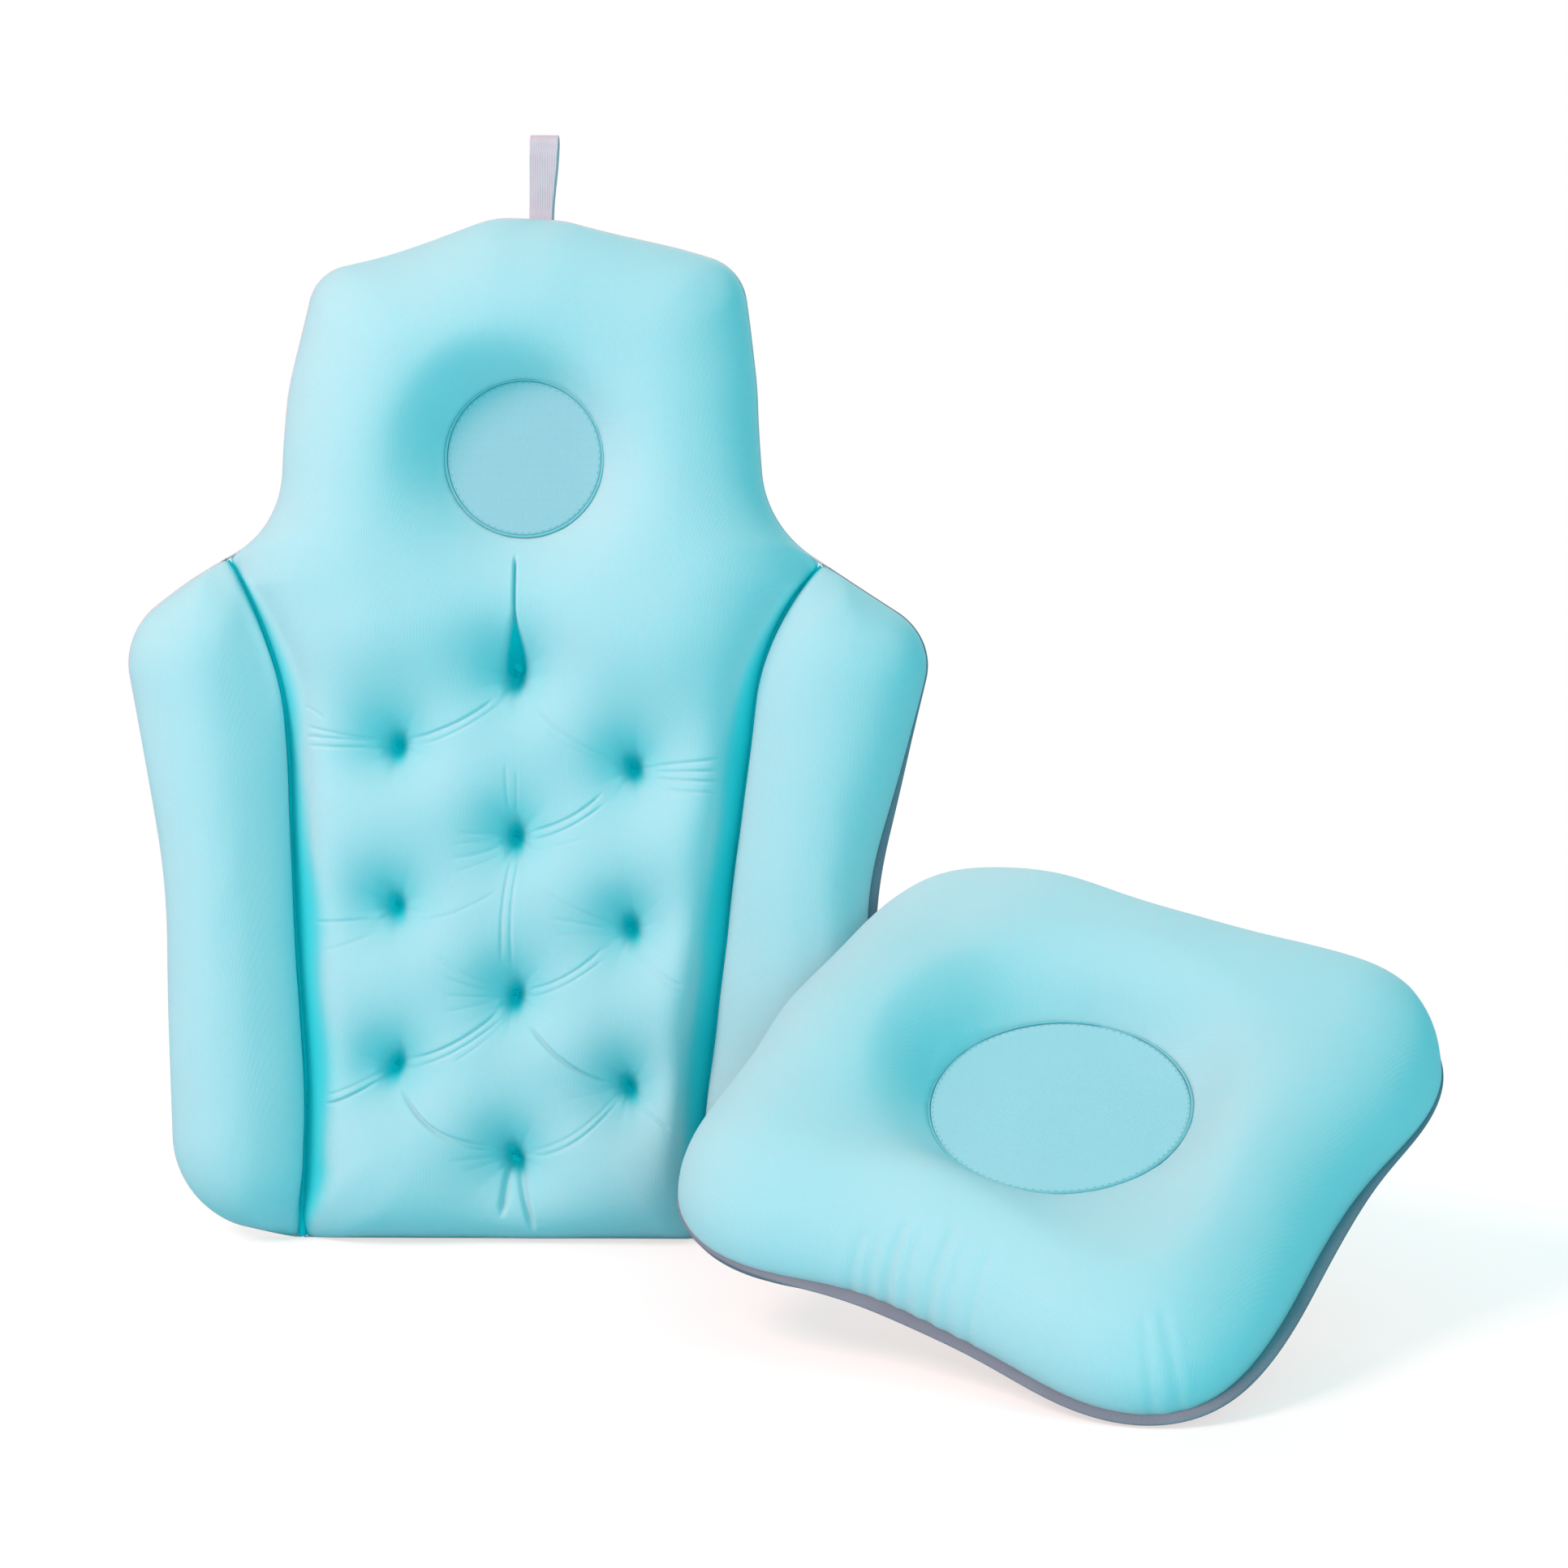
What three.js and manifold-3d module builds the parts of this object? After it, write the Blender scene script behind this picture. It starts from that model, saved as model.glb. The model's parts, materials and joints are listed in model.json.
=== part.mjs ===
// Shower chair cushion set: a tufted back cushion with a head rest, two side bolsters that fold on
// their sewn channels and a hanging loop, and a square seat cushion that leans on the right bolster.
// Millimetres, +Z up, the back cushion faces -Y, origin at the middle of the footprint on the floor.
import * as THREE from 'three';
import { mergeGeometries, mergeVertices } from 'three/addons/utils/BufferGeometryUtils.js';
import Module from 'manifold-3d';

const wasm = await Module();
wasm.setup();

// Fabric, seams and clearances
const COVER = 1.5; // thickness of every sewn panel
const GAP = 0.3; // clearance between pieces that lie against each other
const BINDING_DIAMETER = 3.2; // corded edge binding
const CORD_DIAMETER = 2; // cord sewn along the bottom of a channel
const STITCH_DIAMETER = 1.4; // raised ring of stitching on a disc
const STITCH_INSET = 2.5; // from a disc's edge to the middle of its stitching
const FLOOR_FLAT = 0.5; // how much the weight presses a standing edge flat

// Back cushion outline: half widths, heights above the base and corner radii
const BACK_HEIGHT = 592;
const CROWN_HALF = 20;
const CROWN_RADIUS = 60;
const BROW_HALF = 122.5;
const BROW_DROP = 29.5; // below the crown
const BROW_RADIUS = 28;
const TEMPLE_HALF = 135;
const TEMPLE_DROP = 97; // below the crown
const TEMPLE_RADIUS = 180;
const NECK_HALF = 140;
const NECK_RISE = 63.5; // above the shoulder
const NECK_RADIUS = 62;
const SHOULDER_HALF = 235.5;
const SHOULDER_HEIGHT = 351.5;
const SHOULDER_RADIUS = 38;
const WAIST_HALF = 207;
const WAIST_HEIGHT = 203;
const WAIST_RADIUS = 400;
const HIP_HALF = 203.5;
const HIP_HEIGHT = 14;
const HIP_RADIUS = 54;

// Channels that sew the bolsters off: straight from the base, then bent out to the shoulder line
const CHANNEL_BASE_HALF = 117;
const CHANNEL_BEND_HALF = 132;
const CHANNEL_BEND_HEIGHT = 300;
const CHANNEL_KNEE = 56; // how far the straight run aims past the bend
const JUNCTION_RISE = 42.5; // where a channel meets the edge, above the shoulder
const BOLSTER_TIP = 6; // width where a bolster's panels end

// Back cushion stuffing
const CENTRE_CROWN = 50;
const CENTRE_ROLL = 62; // how far the rounding reaches in from the seam
const BOLSTER_CROWN = 42;
const BOLSTER_ROLL = 44;
const REAR_CROWN = 12;
const REAR_ROLL = 45;

// Head dish and the tufts
const HEAD_DISC_RADIUS = 45.6;
const HEAD_DISC_DROP = 140; // from the crown to the disc's middle
const HEAD_DISC_HEIGHT = 22; // above the seam
const HEAD_DISH_WIDTH = 46; // from the disc's edge to the crest round it
const HEAD_FILLING_CLEAR = 36; // level floor of the filling round the disc
const TUFT_ROWS = 4; // in the middle column, with one row fewer on each side
const TUFT_FIRST = 51; // height of the lowest tuft
const TUFT_PITCH = 92.3;
const TUFT_OFFSET = 68; // from the middle column to a side column
const TUFT_ASIDE = -5; // middle column, right of the middle of the cushion
const TUFT_SKEW = 6; // left column up, right column down
const TUFT_SEAT = 9; // how high a tuft's bottom stays above the seam
const TUFT_SPREAD = 25; // how wide a tuft draws the fabric in
const TUFT_SHARPNESS = 1.4; // 1 is a sharp funnel, 2 a round dimple
const TUFT_REAR_PULL = 6; // how far a tuft draws the rear panel in
const DART_LENGTH = 70; // sewn dart above the top tuft
const DART_WIDTH = 9;
const DART_DEPTH = 26;
const PLEAT_DEPTH = 12; // pleat under the lowest tuft
const TIE_DIAMETER = 2;
const TIE_KNOT_RADIUS = 2.2;
const TIE_KNOT_HEIGHT = 1.6;

// Hanging loop, a folded ribbon sewn into the crown seam
const LOOP_WIDTH = 16;
const LOOP_HEIGHT = 50;
const LOOP_PLY = 1.3;
const LOOP_OPENING = 9; // clear gap between the two plies
const LOOP_NECK = 7; // height where the plies part
const LOOP_OFFSET = 9; // right of the middle

// Seat cushion, measured from its middle
const SEAT_SIDE_REACH = 172.5;
const SEAT_CORNER_REACH = 216;
const SEAT_CORNER_FULLNESS = 3.8;
const SEAT_STRETCH = 6.5; // how much longer each end is one way than across
const SEAT_STRETCH_TURN = -21; // degrees, the way that it is longer
const SEAT_CROWN = 55;
const SEAT_ROLL = 64; // from the seam to the crest
const SEAT_ROLL_SHOULDER = 2.2; // how long the crest stays level
const SEAT_ROLL_STEEPNESS = 0.6; // how upright the wall stands at the seam
const SEAT_UNDER_CROWN = 18;
const SEAT_UNDER_ROLL = 50;
const SEAT_DISC_RADIUS = 70;
const SEAT_DISC_HEIGHT = 21;

// How the set stands
const BACK_LEAN = 7; // degrees from upright
const SEAT_SLOPE = 27.6; // degrees from level, towards the back cushion
const SEAT_TIP = -4.5; // degrees, its right side up
const SEAT_TURN = -30.8; // degrees, in its own plane
const SEAT_ASIDE = 298; // seat's middle, right of the back cushion's middle
const SEAT_START = 420; // in front of the back cushion, before it is slid against the bolster

// Facets
const INNER_COLUMNS = 3;
const OUTER_COLUMNS = 3;
const BASE_STEPS = 2;
const TUFT_STEPS = 4;
const BEND_STEPS = 3;
const HEAD_STEPS = 5;
const CROWN_STEPS = 4;
const BOLSTER_COLUMNS = 5;
const BOLSTER_STEPS = 7;
const SEAT_SECTORS = 32;
const SEAT_RINGS = 6;
const OUTER_EASE = 1.4; // facets draw closer together towards a seam
const BOLSTER_EASE = 1.9;
const SEAT_EASE = 1.3;
const ROUND_SIDES = 40;
const CORD_SIDES = 6;
const STITCH_SIDES = 4;
const HOLE_SIDES = 4;
const LOOP_FACETS = 6;
const OUTLINE_SAMPLES = 240;
const CHANNEL_SAMPLES = 80;
const SEAM_SAMPLES = 150;
const WELD = 1e-3; // points closer than this are one point

const AQUA = { color: 0x9be0ea, roughness: 0.75, metalness: 0 };
const DISC_BLUE = { color: 0x97d5e2, roughness: 0.85, metalness: 0 };
const GREY = { color: 0x8f93a8, roughness: 0.85, metalness: 0 };
const LILAC = { color: 0xc6c3d2, roughness: 0.7, metalness: 0 };
const TEAL = { color: 0x35a9b6, roughness: 0.8, metalness: 0 };
const WADDING = { color: 0xf1f1ec, roughness: 0.95, metalness: 0 };

function piece(name, geometry, look) {
  const mesh = new THREE.Mesh(geometry, new THREE.MeshStandardMaterial(look));
  mesh.name = name;
  return mesh;
}

// Solids for the cuts, in the geometry's own frame
function solidOf(geometry) {
  const bare = geometry.clone();
  bare.deleteAttribute('normal');
  bare.deleteAttribute('uv');
  const merged = mergeVertices(bare, WELD);
  const triVerts = new Uint32Array(merged.index.array);
  const vertProperties = new Float32Array(merged.attributes.position.array);
  return new wasm.Manifold(new wasm.Mesh({ numProp: 3, vertProperties, triVerts }));
}

function geometryOf(solid) {
  const mesh = solid.getMesh();
  const geometry = new THREE.BufferGeometry();
  geometry.setAttribute('position', new THREE.BufferAttribute(mesh.vertProperties, 3));
  geometry.setIndex(new THREE.BufferAttribute(mesh.triVerts, 1));
  geometry.computeVertexNormals();
  return geometry;
}

function cut(geometry, tool) {
  return geometryOf(solidOf(geometry).subtract(solidOf(tool)));
}

// A line of corners, each rounded by its own radius
function roundedLine(corners) {
  const path = new THREE.Path();
  path.moveTo(corners[0].x, corners[0].y);
  for (let i = 1; i < corners.length - 1; i++) {
    const here = new THREE.Vector2(corners[i].x, corners[i].y);
    const back = new THREE.Vector2(corners[i - 1].x, corners[i - 1].y).sub(here).normalize();
    const on = new THREE.Vector2(corners[i + 1].x, corners[i + 1].y).sub(here).normalize();
    const half = Math.acos(THREE.MathUtils.clamp(back.dot(on), -1, 1)) / 2;
    const start = here.clone().addScaledVector(back, corners[i].radius / Math.tan(half));
    const toCentre = back.clone().add(on).setLength(corners[i].radius / Math.sin(half));
    const centre = here.clone().add(toCentre);
    const end = here.clone().addScaledVector(on, corners[i].radius / Math.tan(half));
    const from = start.clone().sub(centre).angle();
    const to = end.clone().sub(centre).angle();
    path.lineTo(start.x, start.y);
    path.absarc(centre.x, centre.y, corners[i].radius, from, to, back.cross(on) > 0);
  }
  path.lineTo(corners.at(-1).x, corners.at(-1).y);
  return path.getSpacedPoints(OUTLINE_SAMPLES);
}

// The same line moved to its right hand side
function moved(line, distance) {
  return line.map((point, i) => {
    const before = line[Math.max(i - 1, 0)];
    const after = line[Math.min(i + 1, line.length - 1)];
    const along = after.clone().sub(before).normalize();
    return new THREE.Vector2(point.x + along.y * distance, point.y - along.x * distance);
  });
}

// Half width of a line that runs from the top down, at one height
function halfWidthAt(line, height) {
  const i = Math.max(1, line.findIndex((point) => point.y <= height));
  const [above, below] = [line[i - 1], line[i]];
  const share = THREE.MathUtils.clamp((above.y - height) / (above.y - below.y || 1), 0, 1);
  return THREE.MathUtils.lerp(above.x, below.x, share);
}

function distanceTo(line, x, y) {
  const segment = new THREE.Line3();
  const here = new THREE.Vector3(x, y, 0);
  const nearest = new THREE.Vector3();
  let least = Infinity;
  for (let i = 1; i < line.length; i++) {
    segment.start.set(line[i - 1].x, line[i - 1].y, 0);
    segment.end.set(line[i].x, line[i].y, 0);
    segment.closestPointToPoint(here, true, nearest);
    least = Math.min(least, nearest.distanceTo(here));
  }
  return least;
}

// Values after the first one, on the way to the last, closer together near the end when ease > 1
function stepsTo(from, to, count, ease = 1) {
  return Array.from({ length: count }, (_, i) => {
    return THREE.MathUtils.lerp(from, to, 1 - (1 - (i + 1) / count) ** ease);
  });
}

// Rounding of a stuffed panel: 0 at its seam, 1 where the rounding ends
function roll(distance, reach) {
  const left = 1 - Math.min(distance / reach, 1);
  return Math.sqrt(1 - left * left);
}

// Closed layer between two heights over a grid of points; rows run up, or outward when they wrap
function layer(grid, lowAt, highAt, wraps = false) {
  const columns = grid[0].length;
  const at = (i, j, heightAt) => {
    const point = grid[i][j % columns];
    return new THREE.Vector3(point.x, point.y, heightAt(point.x, point.y));
  };
  const corners = [];
  const triangle = (a, b, c) => {
    const flat = a.distanceTo(b) < WELD || b.distanceTo(c) < WELD || c.distanceTo(a) < WELD;
    if (!flat) corners.push(a, b, c);
  };
  const quad = (a, b, c, d) => {
    triangle(a, b, c);
    triangle(a, c, d);
  };
  const wall = (i, j, k, l) => {
    quad(at(i, j, lowAt), at(k, l, lowAt), at(k, l, highAt), at(i, j, highAt));
  };
  const last = grid.length - 1;
  const cells = wraps ? columns : columns - 1;
  for (let j = 0; j < cells; j++) {
    for (let i = 0; i < last; i++) {
      quad(at(i, j, highAt), at(i, j + 1, highAt), at(i + 1, j + 1, highAt), at(i + 1, j, highAt));
      quad(at(i, j, lowAt), at(i + 1, j, lowAt), at(i + 1, j + 1, lowAt), at(i, j + 1, lowAt));
    }
    wall(0, j, 0, j + 1);
    wall(last, j + 1, last, j);
  }
  for (let i = 0; i < last && !wraps; i++) {
    wall(i, cells, i + 1, cells);
    wall(i + 1, 0, i, 0);
  }
  return mergeVertices(new THREE.BufferGeometry().setFromPoints(corners), WELD);
}

// The layers of a stuffed panel: front cover, rear cover, and the filling between them
function frontCover(grid, frontAt, wraps = false) {
  return layer(grid, (x, y) => frontAt(x, y) - COVER, frontAt, wraps);
}

function rearCover(grid, rearAt, wraps = false) {
  return layer(grid, rearAt, (x, y) => rearAt(x, y) + COVER, wraps);
}

function fillingBetween(core, rearAt, frontAt, wraps = false) {
  const low = (x, y) => rearAt(x, y) + COVER + GAP;
  const high = (x, y) => frontAt(x, y) - COVER - GAP;
  return layer(core, low, high, wraps);
}

// A line whose even steps fall on its own points
class SeamLine extends THREE.Curve {
  constructor(points, closed = false) {
    super();
    this.points = closed ? [...points, points[0]] : points;
    this.closed = closed;
  }

  getPoint(t) {
    const place = t * (this.points.length - 1);
    const i = Math.min(Math.floor(place), this.points.length - 2);
    const [here, next] = [this.points[i], this.points[i + 1]];
    return new THREE.Vector3(here.x, here.y, 0).lerp(new THREE.Vector3(next.x, next.y, 0), place - i);
  }

  getPointAt(u) {
    return this.getPoint(u);
  }

  getTangentAt(u) {
    const span = 1 / (this.points.length - 1);
    const around = (t) => (this.closed ? (t + 1) % 1 : THREE.MathUtils.clamp(t, 0, 1));
    return this.getPoint(around(u + span)).sub(this.getPoint(around(u - span))).normalize();
  }
}

function cordAlong(points, diameter) {
  const section = new THREE.Path().absarc(0, 0, diameter / 2, 0, 2 * Math.PI).getPoints(CORD_SIDES / 2);
  const extrudePath = new SeamLine(points);
  return new THREE.ExtrudeGeometry(new THREE.Shape(section), { steps: points.length - 1, extrudePath });
}

const mirrored = (point) => new THREE.Vector2(-point.x, point.y);

// Back cushion outline, right half, from the crown round to the base
const backEdge = roundedLine([
  { x: 0, y: BACK_HEIGHT },
  { x: CROWN_HALF, y: BACK_HEIGHT, radius: CROWN_RADIUS },
  { x: BROW_HALF, y: BACK_HEIGHT - BROW_DROP, radius: BROW_RADIUS },
  { x: TEMPLE_HALF, y: BACK_HEIGHT - TEMPLE_DROP, radius: TEMPLE_RADIUS },
  { x: NECK_HALF, y: SHOULDER_HEIGHT + NECK_RISE, radius: NECK_RADIUS },
  { x: SHOULDER_HALF, y: SHOULDER_HEIGHT, radius: SHOULDER_RADIUS },
  { x: WAIST_HALF, y: WAIST_HEIGHT, radius: WAIST_RADIUS },
  { x: HIP_HALF, y: HIP_HEIGHT, radius: HIP_RADIUS },
  { x: CHANNEL_BASE_HALF, y: 0, radius: HIP_RADIUS },
  { x: 0, y: 0 },
]);
const panelEdge = moved(backEdge, BINDING_DIAMETER + GAP);
const bindingLine = moved(backEdge, BINDING_DIAMETER / 2);
const junctionHeight = SHOULDER_HEIGHT + JUNCTION_RISE;
const panelBase = BINDING_DIAMETER + GAP;
const panelTop = BACK_HEIGHT - BINDING_DIAMETER - GAP;

// Right channel, from the shoulder junction down to the base
const channelSlope = (CHANNEL_BEND_HALF - CHANNEL_BASE_HALF) / CHANNEL_BEND_HEIGHT;
const kneeHeight = CHANNEL_BEND_HEIGHT + CHANNEL_KNEE;
const channelPath = new THREE.Path();
channelPath.moveTo(halfWidthAt(backEdge, junctionHeight), junctionHeight);
channelPath.quadraticCurveTo(
  CHANNEL_BASE_HALF + channelSlope * kneeHeight,
  kneeHeight,
  CHANNEL_BEND_HALF,
  CHANNEL_BEND_HEIGHT,
);
channelPath.lineTo(CHANNEL_BASE_HALF, 0);
const channel = channelPath.getSpacedPoints(CHANNEL_SAMPLES);
const channelRoom = CORD_DIAMETER / 2 + GAP;
const centreSide = moved(channel, channelRoom);
const bolsterSide = moved(channel, -channelRoom);

// Centre panel: half width at a height, and its seam all round the right half
function centreHalf(height) {
  const edge = halfWidthAt(panelEdge, height);
  return height < junctionHeight ? Math.min(edge, halfWidthAt(centreSide, height)) : edge;
}
const centreHeights = [panelBase, ...stepsTo(panelBase, panelTop, SEAM_SAMPLES)];
const centreSeam = [
  new THREE.Vector2(0, panelBase),
  ...centreHeights.map((height) => new THREE.Vector2(centreHalf(height), height)),
  new THREE.Vector2(0, panelTop),
];

// Tufts in three columns
const tufts = [];
for (let row = 0; row < TUFT_ROWS; row++) {
  tufts.push(new THREE.Vector2(TUFT_ASIDE, TUFT_FIRST + row * TUFT_PITCH));
}
for (const side of [-1, 1]) {
  for (let row = 0; row < TUFT_ROWS - 1; row++) {
    const height = TUFT_FIRST + (row + 0.5) * TUFT_PITCH - side * TUFT_SKEW;
    tufts.push(new THREE.Vector2(TUFT_ASIDE + side * TUFT_OFFSET, height));
  }
}
const topTuft = TUFT_FIRST + (TUFT_ROWS - 1) * TUFT_PITCH;
const headDisc = new THREE.Vector2(0, BACK_HEIGHT - HEAD_DISC_DROP);

// Centre grid: its columns and rows pass through the tufts, and one row through the junctions
function centreGrid() {
  const browHeight = BACK_HEIGHT - BROW_DROP - BROW_RADIUS;
  const heights = [
    panelBase,
    ...stepsTo(panelBase, TUFT_FIRST, BASE_STEPS),
    ...stepsTo(TUFT_FIRST, topTuft, (TUFT_ROWS - 1) * TUFT_STEPS),
    ...stepsTo(topTuft, junctionHeight, BEND_STEPS),
    ...stepsTo(junctionHeight, browHeight, HEAD_STEPS),
    ...stepsTo(browHeight, panelTop, CROWN_STEPS),
  ];
  const inner = stepsTo(0, 1, INNER_COLUMNS);
  const outer = stepsTo(0, 1, OUTER_COLUMNS, OUTER_EASE);
  const halfRow = (side, height, skewed, middle) => {
    const half = centreHalf(skewed);
    const column = middle + side * TUFT_OFFSET * Math.min(1, half / CHANNEL_BASE_HALF);
    const point = (from, to, share, y) => new THREE.Vector2(THREE.MathUtils.lerp(from, to, share), y);
    return [
      ...inner.map((share) => point(middle, column, share, THREE.MathUtils.lerp(height, skewed, share))),
      ...outer.map((share) => point(column, side * half, share, skewed)),
    ];
  };
  return heights.map((height) => {
    const lowFade = (height - panelBase) / (TUFT_FIRST - panelBase);
    const highFade = (junctionHeight - height) / (junctionHeight - topTuft);
    const skew = TUFT_SKEW * THREE.MathUtils.clamp(Math.min(lowFade, highFade), 0, 1);
    const middle = TUFT_ASIDE * THREE.MathUtils.clamp(highFade, 0, 1);
    const left = halfRow(-1, height, height + skew, middle).reverse();
    return [...left, new THREE.Vector2(middle, height), ...halfRow(1, height, height - skew, middle)];
  });
}
const centre = centreGrid();
const sideHeights = (side) => centre.map((row) => row.at(side < 0 ? 0 : -1).y);

// Crease down the middle: the dart over the top tuft and the pleat under the lowest one
function creaseDepth(x, y) {
  const across = Math.exp(-(((x - TUFT_ASIDE) / DART_WIDTH) ** 2));
  const dart = THREE.MathUtils.clamp((topTuft + DART_LENGTH - y) / DART_LENGTH, 0, 1);
  const pleat = THREE.MathUtils.clamp(y / TUFT_FIRST, 0, 1);
  if (y >= topTuft) return across * dart * DART_DEPTH;
  return y <= TUFT_FIRST ? across * pleat * PLEAT_DEPTH : 0;
}

function centreFront(x, y, discMargin = 0) {
  const rim = GAP / 2 + COVER;
  let height = CENTRE_CROWN * roll(distanceTo(centreSeam, Math.abs(x), y), CENTRE_ROLL);
  const fromDisc = Math.hypot(x - headDisc.x, y - headDisc.y) - HEAD_DISC_RADIUS;
  const dish = THREE.MathUtils.smoothstep(fromDisc, discMargin, HEAD_DISH_WIDTH);
  height = THREE.MathUtils.lerp(HEAD_DISC_HEIGHT - rim, height, dish);
  height = Math.max(height - creaseDepth(x, y), Math.min(height, TUFT_SEAT));
  for (const tuft of tufts) {
    const away = Math.hypot(x - tuft.x, y - tuft.y) / TUFT_SPREAD;
    const free = 1 - Math.exp(-(away ** TUFT_SHARPNESS));
    height = THREE.MathUtils.lerp(Math.min(height, TUFT_SEAT), height, free);
  }
  return rim + height;
}

function centreRear(x, y) {
  let depth = REAR_CROWN * roll(distanceTo(centreSeam, Math.abs(x), y), REAR_ROLL);
  for (const tuft of tufts) {
    const onTuft = Math.hypot(x - tuft.x, y - tuft.y) < TIE_KNOT_RADIUS;
    if (onTuft) depth = Math.max(depth - TUFT_REAR_PULL, 0);
  }
  return -GAP / 2 - COVER - depth;
}

// One tie: a thread through both panels, knotted in the bottom of the tuft on either side
function tuftTie(tuft) {
  const frontSlope = CENTRE_CROWN / TUFT_SPREAD;
  const rearSlope = (Math.SQRT2 * TUFT_REAR_PULL * INNER_COLUMNS) / TUFT_OFFSET;
  const top = centreFront(tuft.x, tuft.y) + TIE_KNOT_RADIUS * frontSlope + GAP;
  const bottom = centreRear(tuft.x, tuft.y) - TIE_KNOT_RADIUS * rearSlope - GAP;
  const profile = [
    [0, bottom - TIE_KNOT_HEIGHT],
    [TIE_KNOT_RADIUS, bottom - TIE_KNOT_HEIGHT],
    [TIE_KNOT_RADIUS, bottom],
    [TIE_DIAMETER / 2, bottom],
    [TIE_DIAMETER / 2, top],
    [TIE_KNOT_RADIUS, top],
    [TIE_KNOT_RADIUS, top + TIE_KNOT_HEIGHT],
    [0, top + TIE_KNOT_HEIGHT],
  ];
  const points = profile.map(([radius, height]) => new THREE.Vector2(radius, height));
  const tie = new THREE.LatheGeometry(points, CORD_SIDES);
  return tie.rotateX(Math.PI / 2).translate(tuft.x, tuft.y, 0);
}

function upright(radius, low, high, centre, sides) {
  const post = new THREE.CylinderGeometry(radius, radius, high - low, sides);
  return post.rotateX(Math.PI / 2).translate(centre.x, centre.y, (low + high) / 2);
}

// A sewn-in disc, with as many sides as the hole that it fills, and its ring of stitching
function discPieces(prefix, radius, height, centre, sides) {
  const thread = STITCH_DIAMETER / 2;
  const ring = new THREE.TorusGeometry(radius - STITCH_INSET, thread, STITCH_SIDES, sides);
  ring.translate(centre.x, centre.y, height + thread + GAP);
  const disc = upright(radius, height - COVER, height, centre, sides);
  return [piece(`${prefix}_disc`, disc, DISC_BLUE), piece(`${prefix}_disc_stitch`, ring, TEAL)];
}

function backCentre() {
  const core = centre.slice(1, -1).map((row) => row.slice(1, -1));
  const front = frontCover(centre, centreFront);
  const rear = rearCover(centre, centreRear);
  const filling = fillingBetween(core, centreRear, (x, y) => centreFront(x, y, HEAD_FILLING_CLEAR));
  const through = CENTRE_CROWN * 2;
  const holeRadius = TIE_DIAMETER + GAP;
  const holes = tufts.map((tuft) => upright(holeRadius, -through, through, tuft, HOLE_SIDES));
  const discHole = upright(HEAD_DISC_RADIUS + GAP, 0, through, headDisc, ROUND_SIDES);
  const tieHoles = mergeGeometries(holes);
  const pieces = [
    piece('back_front_panel', cut(front, mergeGeometries([...holes, discHole])), AQUA),
    piece('back_filling', cut(filling, tieHoles), WADDING),
    piece('back_rear_panel', cut(rear, tieHoles), GREY),
    ...discPieces('head', HEAD_DISC_RADIUS, HEAD_DISC_HEIGHT, headDisc, ROUND_SIDES),
  ];
  tufts.forEach((tuft, i) => {
    pieces.push(piece(`tuft_tie_${String(i + 1).padStart(2, '0')}`, tuftTie(tuft), TEAL));
  });
  return pieces;
}

// Bindings of the centre: over the head from junction to junction, and along the base
function centreBindings() {
  const head = centre.filter((row) => row[0].y > junctionHeight - GAP);
  const right = head.map((row) => row.at(-1));
  const left = head.map((row) => row[0]).reverse();
  const over = moved([...right, ...left], GAP + BINDING_DIAMETER / 2);
  const baseEnd = CHANNEL_BASE_HALF - channelRoom;
  const base = [-baseEnd, baseEnd].map((x) => new THREE.Vector2(x, BINDING_DIAMETER / 2));
  return [
    piece('crown_binding', cordAlong(over, BINDING_DIAMETER), LILAC),
    piece('base_binding', cordAlong(base, BINDING_DIAMETER), LILAC),
  ];
}

// Cords along the channels, with the panels' own rows where the channel bends
function channelCords() {
  return [-1, 1].map((side) => {
    const bend = sideHeights(side).filter((y) => y > CHANNEL_BEND_HEIGHT && y < junctionHeight - GAP);
    const heights = [panelBase, CHANNEL_BEND_HEIGHT, ...bend];
    const points = heights.map((y) => new THREE.Vector2(side * halfWidthAt(channel, y), y));
    const name = side < 0 ? 'left_channel_seam' : 'right_channel_seam';
    return piece(name, cordAlong(points, CORD_DIAMETER), TEAL);
  });
}

// Height where a bolster is wide enough for its panels, looking from one end
function bolsterEnd(from, step) {
  let height = from;
  while (halfWidthAt(panelEdge, height) - halfWidthAt(bolsterSide, height) < BOLSTER_TIP) height += step;
  return height;
}

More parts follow.
